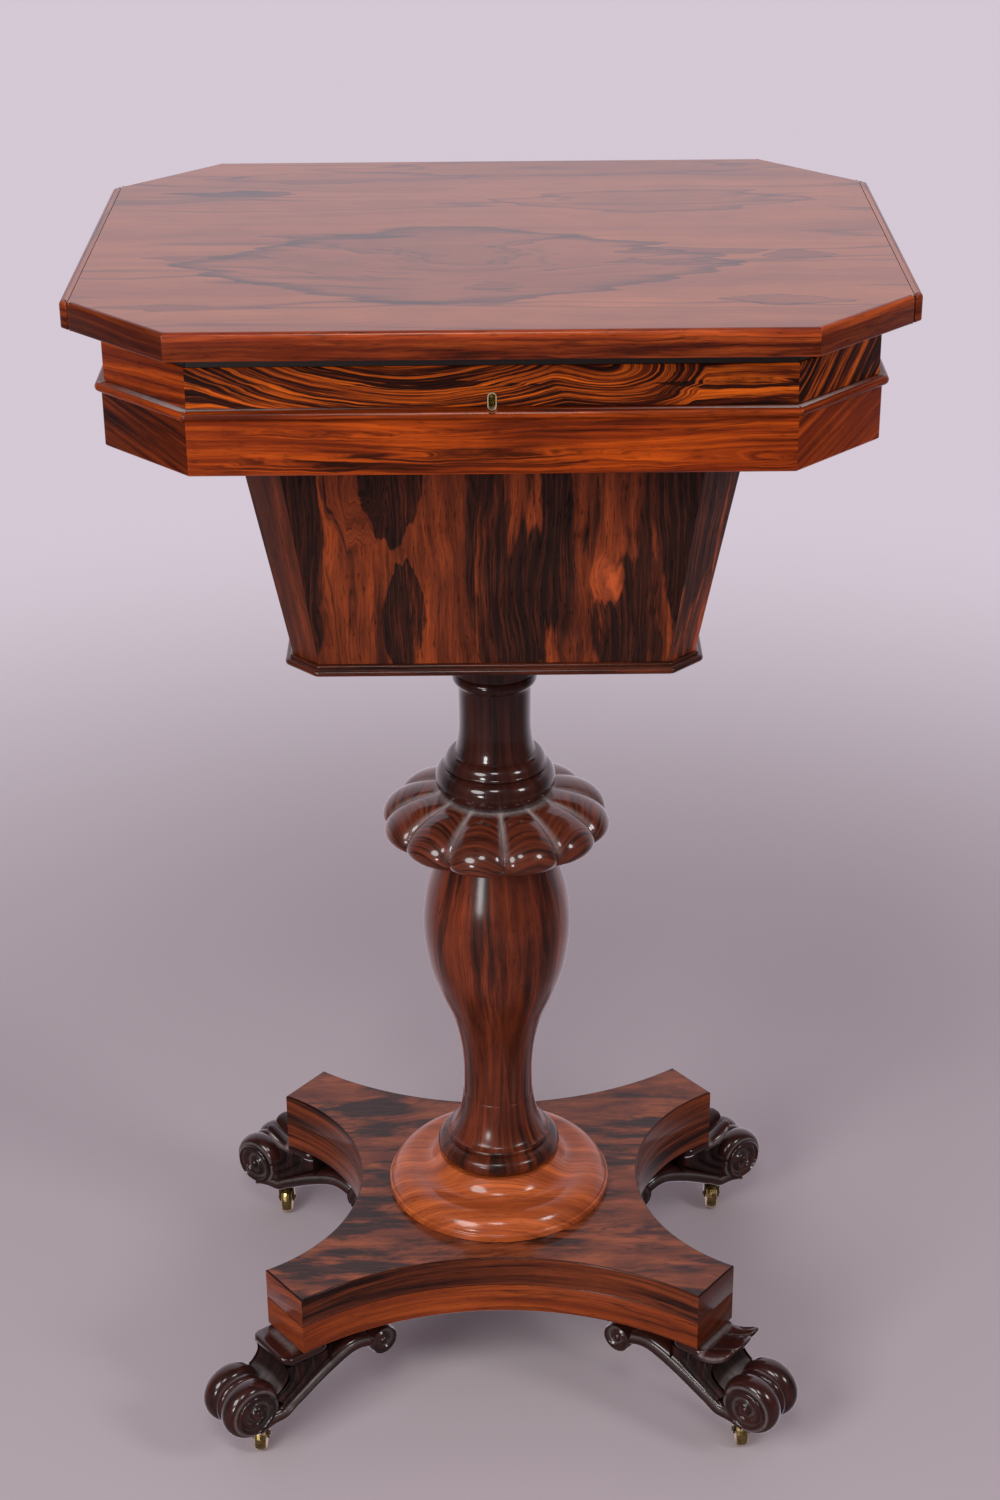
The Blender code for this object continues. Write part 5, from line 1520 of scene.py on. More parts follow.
@dataclass
class Column:
    """The turned column: capital, neck, lobed collar, baluster and ogee ring."""

    finishes: Finishes
    plinth: Pair = (0.1187, 0.1429)
    baluster: Pair = (0.1432, 0.3760)
    collar: Pair = (0.3763, 0.4035)
    neck: Pair = (0.4038, 0.4843)
    capital: Pair = (0.4846, 0.5153)
    capital_root: float = 0.0252
    flange_radius: float = 0.0440
    flange: float = 0.0090
    neck_ring: Bead = ((0.0300, 0.0090), (0.0064, 0.0090), -90, 78, 14)
    neck_lip: Bead = ((0.0292, 0.0196), (0.0022, 0.0015), -80, 50, 6)
    neck_shoulder: Bead = ((0.0246, 0.0190), (0.0062, 0.0080), 12, 90, 8)
    neck_bead: Bead = ((0.0218, -0.0043), (0.0036, 0.0041), -70, 90, 8)
    neck_shaft: tuple[Pair, ...] = (
        (0.0242, 0.0274), (0.0240, 0.0286), (0.0226, 0.0345), (0.0217, 0.0457), (0.0218, 0.0668),
        (0.0224, 0.0718),
    )
    collar_radius: float = 0.0697
    collar_seat: float = 0.0335
    collar_bore: float = 0.0160
    rim_height: float = 0.0077
    rim_drop: float = 0.0006
    lobes: int = 12
    lobe_columns: int = 28
    lobe_turn: float = math.radians(4.5)
    lobe_half: float = 0.017
    lobe_bow: float = 0.94
    groove: float = 0.0052
    foot_bead: Bead = ((0.0326, 0.0062), (0.0065, 0.0062), -90, 80, 12)
    foot_lip: Bead = ((0.0320, 0.0146), (0.0014, 0.0016), -80, 70, 6)
    flare: tuple[Pair, ...] = ((0.0325, 0.0163), (0.0290, 0.0190), (0.0245, 0.0300), (0.0225, 0.0440))
    vase: tuple[Pair, ...] = (
        (0.02205, 0.202), (0.0223, 0.284), (0.0245, 0.364), (0.0293, 0.444), (0.0366, 0.522), (0.0423, 0.600),
        (0.0452, 0.680), (0.0456, 0.745), (0.0436, 0.815), (0.0399, 0.876), (0.0345, 0.950), (0.0310, 1.0),
    )
    strip_tones: tuple[float, ...] = (-0.16, 0.08, -0.22, 0.0, -0.10, 0.12, 0.06)
    neck_seed: float = 3.0
    strip_seed: float = 1.0
    bead_seed: float = 50.0
    strip_start: float = math.radians(-80)
    strip_bend: float = 0.16
    strip_steps: int = 112
    bead_tone: float = -0.30
    plinth_radius: float = 0.0712
    plinth_hollow: float = 0.0385
    plinth_rim: float = 0.0042
    plinth_edge: Pair = (0.0008, 0.0010)
    ogee: tuple[Pair, ...] = (
        (0.965, 0.02), (0.94, 0.14), (0.86, 0.33), (0.76, 0.45), (0.64, 0.515), (0.52, 0.51), (0.40, 0.485),
        (0.28, 0.495), (0.17, 0.58), (0.09, 0.74), (0.03, 0.91), (0.0, 1.0),
    )

    def build(self) -> None:
        """Make the turned pieces from the top down."""
        self.build_capital()
        self.build_neck()
        self.build_collar()
        self.build_baluster()
        self.build_plinth()

    def build_capital(self) -> None:
        """The flared block under the well: a cove, a quarter of an ellipse, up to a thick flange."""
        low, high = self.capital
        out = self.flange_radius
        cove = arc((out, low), (out - self.capital_root, high - self.flange - low), 180, 90, 12)
        profile = np.array([(0.0, low), *cove, (out, high), (0.0, high)])
        show("capital_block", turned(profile), [self.finishes.turned], ["column_capital"])

    def build_neck(self) -> None:
        """The neck: a fat ring, a lip above a groove, a round shoulder, a hollow shaft and a bead at the top."""
        low, high = self.neck
        below = [lifted(bead, low) for bead in (self.neck_ring, self.neck_lip, self.neck_shoulder)]
        shaft = smooth_run([(radius, low + rise) for radius, rise in self.neck_shaft], 6)
        profile = np.concatenate([[(0.0, low)], *below, shaft, lifted(self.neck_bead, high), [(0.0, high)]])
        sheets = turned(profile, seed=self.neck_seed)
        show("neck_turning", sheets, [self.finishes.turned], ["column_neck"])

    def build_collar(self) -> None:
        """The lobed collar.

        A dome from the seat to the rim, curled under, is turned about Z. Across each lobe the surface falls from its
        crown by one minus the square root of one minus the square of the share of the half lobe, so that lobes are
        round and the grooves between them sharp.
        """
        low, high = self.collar
        rim = low + self.rim_height
        reach = self.collar_radius - self.collar_seat
        dome = arc((self.collar_seat, rim), (reach, high - rim), 90, 0, 22)
        curl = arc((self.collar_radius - reach / 3, rim), (reach / 3, self.rim_height + self.rim_drop), 0, -90, 12)
        bore = self.collar_bore
        profile = np.concatenate([[(bore, high)], dome, curl[1:], [(self.collar_seat, low), (bore, low)]])[::-1]
        turn = math.pi / 2 + 2 * math.pi * np.linspace(0, 1, self.lobes * self.lobe_columns + 1)
        radius, height = profile[:, :1], profile[:, 1:]
        out = np.clip((radius - self.collar_seat) / reach, 0, 1)
        phase = (turn + math.pi / 2 - self.lobe_turn) * self.lobes / (2 * math.pi)
        share = 2 * (phase - np.floor(phase)) - 1
        fall = (1 - np.sqrt(1 - self.lobe_bow * share**2)) / (1 - math.sqrt(1 - self.lobe_bow))
        carved = self.groove * fall[None] * out**0.6
        grown = radius - carved
        upper = np.clip((height - rim) / (high - rim), 0, 1)
        level = height - carved * (0.15 + 0.75 * upper) * (height > rim)
        points = np.stack([grown * np.cos(turn), grown * np.sin(turn), np.broadcast_to(level, grown.shape)], axis=-1)
        along = np.broadcast_to(share * self.lobe_half, grown.shape)
        across = walked(profile)[:, None] + 0.5 * along**2 / self.lobe_half
        groove = np.clip((np.abs(share) - 0.74) / 0.26, 0, 1)[None] ** 1.5
        near = np.clip(1.35 - out * 1.1, 0.12, 1) * np.clip(upper * 3, 0, 1)
        dust = np.clip(groove * near + np.clip(1 - out * 9, 0, 1) * (height > rim) * 0.7, 0, 1)
        seeds = np.floor(phase).astype(int)
        sheets = []
        for lobe in np.unique(seeds[:-1]):
            cols = np.flatnonzero(seeds[:-1] == lobe)
            cols = np.append(cols, cols[-1] + 1)
            local = np.stack([along[:, cols], across[:, cols]], axis=-1)
            sheets.append(Sheet(points[:, cols], local, float(lobe % self.lobes), dust[:, cols]))
        show("collar_carving", sheets, [self.finishes.collar], ["lobed_collar"])

    def build_baluster(self) -> None:
        """The vase-shaped baluster: upright strips of veneer, twisted by a sine of the height, on a turned bead."""
        low, high = self.baluster
        height = high - low
        beads = [lifted(bead, low) for bead in (self.foot_bead, self.foot_lip)]
        start = [(radius, low + rise) for radius, rise in self.flare]
        flare = smooth_run(start, 6)
        foot = np.concatenate([[(0.0, low)], *beads, flare[:1]])
        vase = smooth_run([start[-1], *((radius, low + share * height) for radius, share in self.vase)], 6)
        strips = np.concatenate([flare, vase[1:], [(0.0, high)]])
        twist = self.strip_bend * np.sin((strips[:, 1] - low) / height * 7.0 + 0.6)
        count = len(self.strip_tones)
        leaves = turned(strips, count, self.strip_steps, self.strip_seed, self.strip_start, twist)
        for leaf, tone in zip(leaves, self.strip_tones):
            leaf.tone = tone
        bottom = turned(foot, 1, self.strip_steps, self.bead_seed, self.strip_start)
        for sheet in bottom:
            sheet.tone = self.bead_tone
        show("baluster_turning", [*bottom, *leaves], [self.finishes.baluster], ["baluster"])

    def build_plinth(self) -> None:
        """The ogee ring under the baluster: a low rim, a broad round brim and a hollow up to the bead."""
        low, high = self.plinth
        rim = low + self.plinth_rim
        run = self.plinth_radius - self.plinth_hollow
        edge_x, edge_z = self.plinth_edge
        edge = arc((self.plinth_radius - edge_x, rim - edge_z), self.plinth_edge, 0, 80, 4)
        ogee = smooth_run([(self.plinth_hollow + a * run, rim + b * (high - rim)) for a, b in self.ogee], 5)
        profile = np.concatenate([[(0.0, low), (self.plinth_radius, low)], edge, ogee, [(0.0, high)]])
        sheets = turned(profile)
        for sheet in sheets:
            sheet.grain = sheet.points[..., :2] + sheet.points[..., 2:] * 0.5
        show("ogee_ring", sheets, [self.finishes.plinth], ["plinth_ring"])


@dataclass
class Platform:
    """The four-armed platform: hollow sides between canted ends, veneered in two tones."""

    finishes: Finishes
    front_hollow: float = 0.0410
    side_hollow: float = 0.0557
    bottom: float = 0.0769
    top: float = 0.1184
    split: float = 0.0975
    seam_width: float = 0.0008
    seam_depth: float = 0.0003
    ease: float = 0.0009
    edge_tone: float = -0.6
    cant_tones: tuple[float, ...] = (-0.60, -0.25, -0.30, 0.0)
    cant_grain: Pair = (0.97, 0.24)
    side_panels: tuple[int, ...] = (2, 6)
    top_seed: float = 7.0
    under_seed: float = 9.0

    def hollow(self, half: float, depth: float) -> Array:
        """A circular hollow: its radius is the half chord squared plus the depth squared, over twice the depth.

        Args:
            half: half of its chord.
            depth: its depth.

        Returns:
            (along, inward) pairs from one end to the other.
        """
        radius = (half**2 + depth**2) / (2 * depth)
        turn = math.degrees(math.asin(half / radius))
        return arc((0.0, depth - radius), (radius, radius), 90 + turn, 90 - turn, 48)

    def outline(self) -> Outline:
        """The platform's outline: four hollows and four cants.

        Returns:
            The outline.
        """
        (x, y), (cx, cy) = PLATFORM_HALF, PLATFORM_CANT
        front = self.hollow(x - cx, self.front_hollow)
        side = self.hollow(y - cy, self.side_hollow)
        runs = [
            np.column_stack([front[:, 0], -y + front[:, 1]]),
            np.column_stack([x - side[:, 1], side[:, 0]]),
            np.column_stack([-front[:, 0], y - front[:, 1]]),
            np.column_stack([-x + side[:, 1], -side[:, 0]]),
        ]
        share = np.linspace(0, 1, 5)[:, None]
        full = []
        for run, after in zip(runs, runs[1:] + runs[:1]):
            full += [run, run[-1] + (after[0] - run[-1]) * share]
        return Outline.mitred(full)

    def build(self) -> None:
        """Make the platform: its faces are a dark band over an orange one, and its top is one veneer."""
        outline = self.outline()
        ease, split, seam_top = self.ease, self.split, self.split + self.seam_width
        low = [outline.ring(self.bottom, -ease), outline.ring(self.bottom + ease), outline.ring(split)]
        groove = [low[-1], outline.ring((split + seam_top) / 2, -self.seam_depth), outline.ring(seam_top)]
        round_top = arc((-ease, self.top - ease), (ease, ease), 0, 90, 4)
        arris = [outline.ring(level, offset) for offset, level in round_top]
        seam = loft(groove, finish=PlatformFinish.DARK)
        edges = loft(arris, finish=PlatformFinish.DARK)
        upper = loft([groove[-1], arris[0]], finish=PlatformFinish.DARK)
        faces = [*loft(low, finish=PlatformFinish.ORANGE), *seam, *upper]
        for sheet in faces:
            panel = int(sheet.panel)
            if panel % 2:
                sheet.finish, sheet.tone = PlatformFinish.ORANGE, self.cant_tones[panel // 2]
                sheet.grain = swung(sheet.grain, *self.cant_grain)
            elif panel in self.side_panels:
                sheet.finish = PlatformFinish.DARK
        for sheet in [*edges, *seam]:
            sheet.tone = self.edge_tone
        under = cap(low[0], False, PlatformFinish.DARK, self.under_seed)
        top = cap(arris[-1], True, PlatformFinish.TOP, self.top_seed)
        finish = [self.finishes.base_top, self.finishes.base_side, self.finishes.base_dark]
        show("platform_block", [*faces, *edges, *under, *top], finish, ["base_platform"])


@dataclass
class Foot:
    """A carved scroll foot, worked in its own frame: s outward from the platform's cant, w across, z up."""

    corner: Corner
    finishes: Finishes
    width: float = 0.0390
    top: float = 0.0766
    roll: Pair = (0.0350, 0.0470)
    roll_radius: float = 0.0195
    roll_turns: float = 1.7
    scroll: Pair = (-0.0610, 0.0575)
    scroll_radius: float = 0.0100
    scroll_turns: float = 1.4
    arm: tuple[Pair, ...] = (
        (-0.0610, 0.0480), (-0.0560, 0.0512), (-0.0500, 0.0560), (-0.0380, 0.0576), (-0.0190, 0.0500),
        (-0.0013, 0.0405), (0.0050, 0.0372), (0.0132, 0.0325), (0.0240, 0.0318), (0.0330, 0.0292),
    )
    arm_thickness: tuple[Pair, ...] = ((0, 0.0060), (0.2, 0.0085), (0.45, 0.0100), (0.75, 0.0090), (1, 0.0070))
    arm_step: float = 0.0030
    ridges: tuple[tuple[float, float, float, float, int], ...] = (
        (-0.940, 0.060, 0.66, 0.060, 8),
        (-0.520, 0.355, 0.76, 0.240, 24),
        (0.0, 0.145, 0.79, 0.110, 10),
    )
    front_top: float = 0.0118
    front: tuple[Pair, ...] = ((0.0100, 0.0665), (0.0106, 0.0612), (0.0150, 0.0560), (0.0215, 0.0520))
    seat: float = 0.0325
    seat_reach: float = 0.0318
    tab_thickness: float = 0.0058
    tab_root: float = 0.0020
    lobe_start: float = -0.0030
    lobe_half: float = 0.0042
    lobes: tuple[tuple[float, float, float, float], ...] = (
        (0.0, 0.0103, 0.0245, 0.0105),
        (-0.0142, 0.0053, 0.0225, 0.0095),
        (0.0142, 0.0053, 0.0225, 0.0095),
    )
    worn_corner: Corner = Corner.FRONT_LEFT
    worn_reach: float = 0.0145
    worn_lift: float = 0.0022
    block_inset: float = 0.0210
    inner_bend: Pair = (0.25, 0.0640)
    inner_end: Pair = (0.0120, 0.0420)
    side_inset: float = 0.0010
    back_bottom: float = 0.0600
    dust_level: float = 0.0570
    flute_depth: float = 0.0032
    front_dip: float = 0.0022
    tab_corner: float = 0.0075
    tab_edge: float = 0.0022
    spiral_depth: float = 0.17
    lobe_tip: float = 0.60
    drum_seed: float = 2.0
    block_seed: float = 3.0
    arm_seed: float = 4.0
    sharp_angle: float = math.radians(50)

    def drum(self, centre: Pair, radius: float, bands: Array, turns: float, hand: float) -> Sheet:
        """A scroll's drum: a profile turned about the w axis, with a spiral sunk into each end.

        Args:
            centre: the axis in s and z.
            radius: the drum's radius.
            bands: (share of the half width, share of the radius) pairs from one end to the other.
            turns: turns of the spiral on each end.
            hand: 1 or -1, which way the spiral winds.

        Returns:
            The drum. Its ends fall by the depth of a round-bottomed groove that runs in along the spiral.
        """
        half = self.width / 2
        reach = bands[0, 1]
        shares = np.linspace(0.0, reach, 34)
        face = np.column_stack([np.full(len(shares), bands[0, 0]), shares])
        profile = np.concatenate([face[:-1], bands, face[::-1][1:] * [-1, 1]])
        turn = np.linspace(0, 2 * math.pi, 121)
        share = np.repeat(profile[:, 1:], len(turn), 1)
        w = np.repeat(profile[:, :1], len(turn), 1) * half
        inward = 1 - share / reach
        cycle = inward * turns + hand * turn[None] / (2 * math.pi)
        groove = (0.5 + 0.5 * np.cos(2 * math.pi * cycle)) ** 1.6
        groove = groove * np.clip(inward * 7, 0, 1) * np.clip((0.80 - inward) * 8, 0, 1)
        eye = np.sqrt(np.clip(1 - ((1 - inward) / 0.24) ** 2, 0, 1))
        on_face = np.zeros((len(profile), 1))
        on_face[: len(face)] = on_face[-len(face) :] = 1
        sink = on_face * radius * (groove * self.spiral_depth - eye * 0.06)
        w = w - np.sign(w) * sink
        s = centre[0] + radius * share * np.cos(turn)
        z = centre[1] + radius * share * np.sin(turn)
        hollows = np.clip((0.84 - share) / 0.07, 0, 1) * (1 - on_face) * (share > reach + 0.08)
        dust = np.clip(on_face * groove**2 * 0.35 + hollows * 0.8, 0, 1)
        along = np.broadcast_to(turn * radius, s.shape)
        return Sheet(np.stack([s, w, z], axis=-1), np.stack([along, w], axis=-1), self.drum_seed, dust)

    def bands(self) -> Array:
        """The roll's profile.

        Its ridges are, from one end to the middle, a narrow rim, a fat band and half of a thin bead. Each has its
        middle, half width, foot, rise and steps, and rises from its foot by the square root of one minus the square
        of the share of its half width. The other half of the profile mirrors them.

        Returns:
            (share of the half width, share of the radius) pairs from end to end.
        """
        rows = [[(-1.0, self.ridges[0][2])]]
        for middle, half, foot, rise, steps in self.ridges:
            share = np.sin(np.linspace(-1, 1, steps + 1) * math.pi / 2)
            rows.append(np.column_stack([middle + half * share, foot + rise * np.sqrt(1 - 0.98 * share**2)]))
        left = np.concatenate(rows)[: -(self.ridges[-1][-1] // 2)]
        return np.concatenate([left, left[::-1][1:] * [-1, 1]])

    def strap(self) -> list[Sheet]:
        """The arm, from the scroll to the roll.

        It is swept along a path in s and z, to the left of it. Each section is a rounded oblong across w, and above
        its middle the sides step in.

        Returns:
            The swept tube and its two end caps.
        """
        path = smooth_run(self.arm[::-1], 6)[::-1]
        thick = np.interp(np.linspace(0, 1, len(path)), *zip(*self.arm_thickness))
        slope = np.gradient(path, axis=0)
        slope /= np.linalg.norm(slope, axis=1)[:, None]
        left = np.column_stack([-slope[:, 1], slope[:, 0]])
        turn = np.linspace(-math.pi / 2, 3 * math.pi / 2, 81)
        edge = np.sign(np.cos(turn)) * np.abs(np.cos(turn)) ** 0.28
        lift = 0.5 + 0.5 * np.sign(np.sin(turn)) * np.abs(np.sin(turn)) ** 0.8
        sunk = np.clip((lift - 0.50) / 0.16, 0, 1)
        sunk = sunk * sunk * (3 - 2 * sunk)
        w = np.broadcast_to((self.width / 2 - self.arm_step * sunk) * edge, (len(path), len(turn)))
        rise = thick[:, None] * lift
        points = np.stack([path[:, :1] + left[:, :1] * rise, w, path[:, 1:] + left[:, 1:] * rise], axis=-1)
        grain = np.stack(np.broadcast_arrays(walked(path)[:, None], turn * 0.006), axis=-1)
        dust = np.clip(1 - np.abs(lift - 0.64) / 0.10, 0, 1)[None] * 0.55
        ends = [fan(points[row], grain[row], self.arm_seed) for row in (0, -1)]
        return [Sheet(points, grain, self.arm_seed, dust), *ends]

    def block(self) -> list[Sheet]:
        """The block between the arm and the platform.

        Each side runs straight from an inner line to the hollow front, and sinks in a row of upright flutes. The
        front dips by one minus the square of the share of its half width. The back is flat.

        Returns:
            Its two sides, its front and its back.
        """
        under = self.top - self.tab_thickness
        front = smooth_run(((self.front_top, under), *self.front), 6)
        fall = np.linspace(0, 1, len(front))
        (bend, bend_z), (end_s, end_z) = self.inner_bend, self.inner_end
        inner_s = np.interp(fall, [0, bend, 1], [-self.block_inset, -self.block_inset, end_s])
        inner = np.column_stack([inner_s, np.interp(fall, [0, bend, 1], [under, bend_z, end_z])])
        half = self.width / 2 - self.side_inset
        shares = np.linspace(0, 1, 61)
        flat = inner[:, None] + (front - inner)[:, None] * shares[:, None]
        flute = np.abs(np.cos((1 - shares) * math.pi * 2.5)) ** 0.6
        sink = np.broadcast_to(self.flute_depth * (1 - flute), flat.shape[:2])
        dust = np.clip((1 - flute) * 0.7 - 0.40, 0, 1)[None]
        # The block's sides, front and back take the darker finish of sunk parts, whose colours are painted shade.
        faces = []
        for sign in (-1, 1):
            points = np.stack([flat[..., 0], sign * (half - sink), flat[..., 1]], axis=-1)
            faces.append(Sheet(points, flat[..., ::-1].copy(), self.block_seed, dust, FootFinish.RECESS))
        across = np.linspace(-1, 1, 13)
        dip = self.front_dip * (1 - across**2)
        back = np.linspace(self.back_bottom, self.top, 8)[:, None]
        low = np.clip((self.dust_level - front[:, 1:]) / 0.005, 0, 1)
        for s, w, z, dust in (
            (front[:, :1] - dip, across * (half - self.front_dip), front[:, 1:], low),
            (-self.block_inset, across * half, back, 0.0),
        ):
            points = np.stack(np.broadcast_arrays(s, w, z), axis=-1)
            faces.append(Sheet(points, points[..., :0:-1].copy(), self.block_seed, dust, FootFinish.RECESS))
        return faces

    def tab(self, reach: float, lift: float) -> list[Sheet]:
        """The slab at the top of the foot, with round front corners and a front edge that turns up.

        Args:
            reach: how far it stands out from the platform's cant.
            lift: how far its front edge rises, by the square of the share of the way there.

        Returns:
            Its rim, its top and its underside.
        """
        half = self.width / 2
        back = -self.block_inset
        corners = np.array([(back, -half), (reach, -half), (reach, half), (back, half)])
        outline = Outline.rounded(corners, self.tab_corner, 8)
        thick = self.tab_thickness / 2
        edge = arc((-self.tab_edge, self.top - thick), (self.tab_edge, thick), -90, 90, 8)
        rings = [outline.ring(level, offset) for offset, level in edge]
        sheets = loft(rings)
        share = np.linspace(1, 0, 9)[1:]
        for face, up in ((rings[0], False), (rings[-1], True)):
            centre = np.concatenate(face.runs).mean(axis=0)
            for run in face.runs:
                inner = centre + (run - centre) * share[:, None, None]
                rows = np.concatenate([run[None], inner])
                rows = rows if up else rows[::-1]
                dust = np.clip(1 - np.abs(rows[..., 0] - 0.002) / 0.004, 0, 1) * 0.7 if up else 0.0
                sheets.append(Sheet(rows, rows[..., :2].copy(), 0.0, dust))
        for sheet in sheets:
            out = np.clip((sheet.points[..., 0] - self.tab_root) / (reach - self.tab_root), 0, 1)
            sheet.points[..., 2] += lift * out**2
        return sheets

    def lobe(self, middle: float, half: float, reach: float, rise: float) -> Sheet:
        """One lobe of the tongue: it starts under the platform, curls up and ends round.

        Args:
            middle: its middle across the foot.
            half: its half width.
            reach: how far its tip stands out from the platform's cant.
            rise: how far its tip rises.

        Returns:
            A tube of oval sections whose half width and half thickness both close towards the tip.
        """
        share = np.sin(np.linspace(0, 1, 41) * math.pi / 2)
        s = self.lobe_start + (reach - self.lobe_start) * share
        out = np.clip((s - self.tab_root) / (reach - self.tab_root), 0, 1)
        tip = np.clip((share - self.lobe_tip) / (1 - self.lobe_tip), 0, 1)
        plan = (1 - tip**2.6) ** (1 / 2.6)
        deep = np.sqrt(1 - tip**2.4)
        turn = np.linspace(-math.pi / 2, 3 * math.pi / 2, 49)
        edge = np.sign(np.cos(turn)) * np.abs(np.cos(turn)) ** 0.8
        centre = self.top + rise * out**2 - self.lobe_half
        z = centre[:, None] + self.lobe_half * deep[:, None] * np.sin(turn)
        w = middle + half * plan[:, None] * edge
        points = np.stack([np.broadcast_to(s[:, None], w.shape), w, z], axis=-1)
        upper = np.clip(np.sin(turn) * 3, 0, 1)
        rim = np.clip(np.abs(edge) * 6 - 5, 0, 1)[None] * (0.25 + 0.75 * upper)
        root = np.clip(1 - np.abs(s - self.tab_root) / 0.0030, 0, 1)[:, None] * upper
        inner = np.clip((share - 0.15) * 4, 0, 1) * np.clip((0.93 - share) * 8, 0, 1)
        dust = np.clip(rim * inner[:, None] + 0.7 * root, 0, 1)
        return Sheet(points, np.stack([points[..., 0], w], axis=-1), 0.0, dust)

    def tongue(self) -> list[Sheet]:
        """What stands out at the top of the foot: three lobes, or a plain stump where they have been rubbed away.

        Returns:
            Its sheets.
        """
        if self.corner is self.worn_corner:
            return self.tab(self.worn_reach, self.worn_lift)
        return [*self.tab(3 * self.tab_root, 0.0), *(self.lobe(*sizes) for sizes in self.lobes)]

    def sheets(self) -> list[Sheet]:
        """All of the foot in its own frame.

        The small scroll's profile is level, and falls at its ends by the root of one minus a sixth power.

        Returns:
            Its sheets.
        """
        roll = self.drum(self.roll, self.roll_radius, self.bands(), self.roll_turns, 1.0)
        fat = np.linspace(-1, 1, 17)
        plain = np.column_stack([fat, 0.88 + 0.12 * np.sqrt(1 - 0.9 * np.abs(fat) ** 6)])
        scroll = self.drum(self.scroll, self.scroll_radius, plain, self.scroll_turns, -1.0)
        return [roll, scroll, *self.strap(), *self.block(), *self.tongue()]

    def build(self) -> None:
        """Turn the foot to its corner and show it, cut level where the caster's plate sits."""
        signs, half, cant = (np.array(pair) for pair in (self.corner.value, PLATFORM_HALF, PLATFORM_CANT))
        out = signs * cant[::-1] / np.linalg.norm(cant)
        side = np.array([-out[1], out[0]])
        base = signs * (half - cant / 2)
        sheets = self.sheets()
        for sheet in sheets:
            s, w, z = (sheet.points[..., i] for i in range(3))
            z = np.where(s < self.seat_reach, np.maximum(z, self.seat), z)
            flat = base + s[..., None] * out + w[..., None] * side
            sheet.points = np.concatenate([flat, z[..., None]], axis=-1)
        label = self.corner.label
        mesh = mesh_of(f"foot_{label}_shape", sheets, self.sharp_angle)
        finish = [self.finishes.carved, self.finishes.recess]
        show(f"scroll_foot_{label}", mesh, finish, [f"foot_{label}"])


@dataclass
class PlainNodes:
    """CAD nodes that are shown as they are, each with its finish. The tray's edges are eased."""

    frame: dict
    finishes: Finishes
    tray_ease: float = 0.0006
    ease_angle: float = math.radians(40)

    def dress(self, node: str, finish: Material, ease: float = 0.0) -> None:
        """Give a CAD node its finish.

        Args:
            node: its name.
            finish: its material.
            ease: the width of the round on its edges, if any.
        """
        piece = self.frame["nodes"][node]
        piece.data.materials.clear()
        piece.data.materials.append(finish)
        if ease:
            weld = piece.modifiers.new("weld", "WELD")
            weld.merge_threshold = NODE_WELD
            soft = piece.modifiers.new("ease", "BEVEL")
            soft.width = ease
            soft.segments = 2
            soft.limit_method = "ANGLE"
            soft.angle_limit = self.ease_angle
        LOG.info("%s: CAD node in %s", node, finish.name)

    def build(self) -> None:
        """Dress the case's walls, floor and tray, and all the brass."""
        for side in SIDES:
            self.dress(f"case_{side}", self.finishes.wall)
        self.dress("case_floor", self.finishes.tray)
        self.dress("work_tray", self.finishes.tray, self.tray_ease)
        for corner in Corner:
            for kind in ("plate", "fork"):
                self.dress(f"caster_{kind}_{corner.label}", self.finishes.dull_shaded_brass)
            self.dress(f"caster_wheel_{corner.label}", self.finishes.brass)
        for side in ("left", "right"):
            for kind in ("case_leaf", "lid_leaf", "pin"):
                self.dress(f"hinge_{side}_{kind}", self.finishes.brass)
        for node in ("lock_case", "lock_bolt", "lock_link_plate"):
            self.dress(node, self.finishes.brass)
        self.dress("keyhole_liner", self.finishes.rubbed_brass)


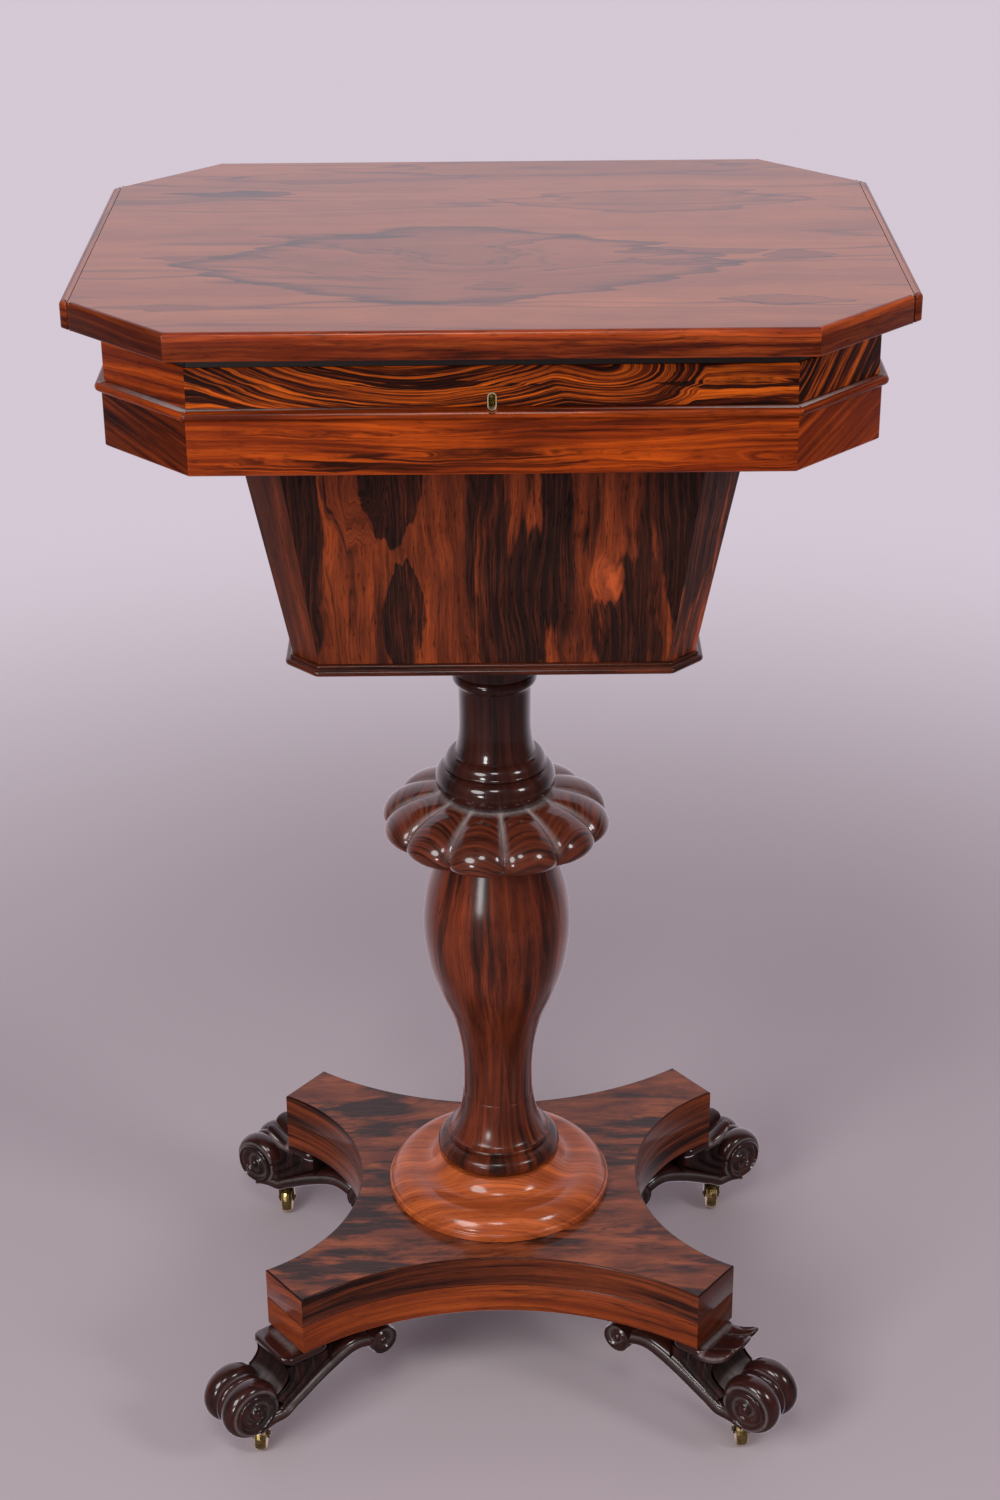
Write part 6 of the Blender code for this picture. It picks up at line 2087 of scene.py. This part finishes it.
@dataclass
class Studio:
    """The camera, the pale floor and the soft lights."""

    position: Size = (0.0003, -1.4510, 1.1477)
    yaw: float = 0.0018
    pitch: float = -0.4595
    roll: float = -0.0081
    lens: float = 64.46
    sensor: float = 36.0
    near: float = 0.01
    aim: Size = (0.0, 0.0, 0.45)
    lamps: tuple[tuple[str, Size, Pair, float], ...] = (
        ("key", (-1.4, -1.9, 1.75), (1.1, 1.1), 30.0),
        ("front", (-0.1, -2.0, 2.6), (0.7, 0.7), 14.0),
        ("right", (1.8, -1.3, 1.7), (0.5, 0.7), 13.0),
        ("low", (-1.05, -2.05, 0.5), (0.4, 0.4), 8.0),
    )
    floor_radius: float = 1.6
    floor_fade: Pair = (0.45, 1.55)
    floor_color: Color = (0.50, 0.44, 0.46)
    floor_mirror_loss: float = 0.75
    room_color: Color = (1.0, 0.88, 1.0)
    backdrop: float = 0.66
    room_light: float = 0.42
    mirrored_wall: float = 0.80
    mirrored_room: float = 0.04

    def camera(self) -> None:
        """Stand the camera where the photograph was taken from."""
        data = bpy.data.cameras.new("camera")
        data.sensor_width = self.sensor
        data.lens = self.lens
        data.clip_start = self.near
        eye = bpy.data.objects.new("camera", data)
        level = math.cos(self.pitch)
        look = Vector((math.sin(self.yaw) * level, math.cos(self.yaw) * level, math.sin(self.pitch)))
        right = Vector((math.cos(self.yaw), -math.sin(self.yaw), 0.0))
        up = right.cross(look)
        side = right * math.cos(self.roll) + up * math.sin(self.roll)
        top = up * math.cos(self.roll) - right * math.sin(self.roll)
        turn = Matrix((side, top, -look)).transposed()
        eye.matrix_world = Matrix.Translation(self.position) @ turn.to_4x4()
        bpy.context.scene.collection.objects.link(eye)
        bpy.context.scene.camera = eye

    def lamp(self, name: str, place: Size, size: Pair, power: float) -> None:
        """A soft oval lamp that looks at the middle of the table.

        Args:
            name: its name.
            place: where it stands.
            size: its width and its height.
            power: its power in watts.
        """
        data = bpy.data.lights.new(name, "AREA")
        data.shape = "ELLIPSE"
        data.size, data.size_y = size
        data.energy = power
        lamp = bpy.data.objects.new(name, data)
        lamp.location = place
        lamp.rotation_euler = (Vector(self.aim) - Vector(place)).to_track_quat("-Z", "Y").to_euler()
        bpy.context.scene.collection.objects.link(lamp)

    def floor(self) -> None:
        """A pale round floor that fades out into the background, and is dim where polished wood mirrors it."""
        g = Graph.of_material("pale_floor")
        x, y, _ = g.split(g.node("TexCoord").outputs["Object"])
        glossy = Value(g, g.node("LightPath").outputs["Is Glossy Ray"])
        fade = ((x * x + y * y) ** 0.5).rise(*self.floor_fade).most(glossy * self.floor_mirror_loss)
        paint = g.node("BsdfDiffuse", None, {"Color": self.floor_color})
        clear = g.node("BsdfTransparent")
        mixed = g.node("MixShader", None, {0: fade, 1: Value(g, paint.outputs[0]), 2: Value(g, clear.outputs[0])})
        g.node("OutputMaterial", None, {"Surface": Value(g, mixed.outputs[0])})
        radius, turn = np.meshgrid(np.linspace(0, self.floor_radius, 5), np.linspace(0, 2 * math.pi, 65))
        points = np.stack([radius * np.cos(turn), radius * np.sin(turn), np.zeros_like(turn)], axis=-1)
        mesh = mesh_of("floor", [Sheet(points, points[..., :2].copy())])
        mesh.materials.append(g.owner)
        floor = bpy.data.objects.new("floor", mesh)
        bpy.context.scene.collection.objects.link(floor)

    def world(self) -> None:
        """Even pale light from all round. Polished wood mirrors a pale wall at the back and a dim room elsewhere."""
        world = bpy.data.worlds.new("studio")
        bpy.context.scene.world = world
        g = Graph(world)
        _, back, _ = g.split(g.node("TexCoord").outputs["Generated"])
        path = g.node("LightPath")
        camera, glossy = Value(g, path.outputs["Is Camera Ray"]), Value(g, path.outputs["Is Glossy Ray"])
        mirrored = back.rise(0.05, 0.75) * self.mirrored_wall + self.mirrored_room
        plain = 1.0 - camera.most(glossy)
        strength = camera * self.backdrop + glossy * mirrored + plain * self.room_light
        light = g.node("Background", None, {"Color": self.room_color, "Strength": strength})
        g.node("OutputWorld", None, {"Surface": Value(g, light.outputs[0])})

    def build(self) -> None:
        """Set the camera, the lights and the floor."""
        self.camera()
        self.floor()
        self.world()
        for lamp in self.lamps:
            self.lamp(*lamp)
        bpy.context.scene.view_settings.view_transform = "Standard"


def main() -> None:
    """Build the table's looks in order."""
    logging.basicConfig(level=logging.INFO, format="%(name)s: %(message)s")
    for item in list(bpy.data.objects):
        bpy.data.objects.remove(item, do_unlink=True)
    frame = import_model()
    Studio().build()
    finishes = Finishes.make()
    for assembly in (Lid, Case, Well, Column, Platform):
        assembly(finishes).build()
    for corner in Corner:
        Foot(corner, finishes).build()
    PlainNodes(frame, finishes).build()
    bpy.context.view_layer.update()


if __name__ == "__main__":
    main()
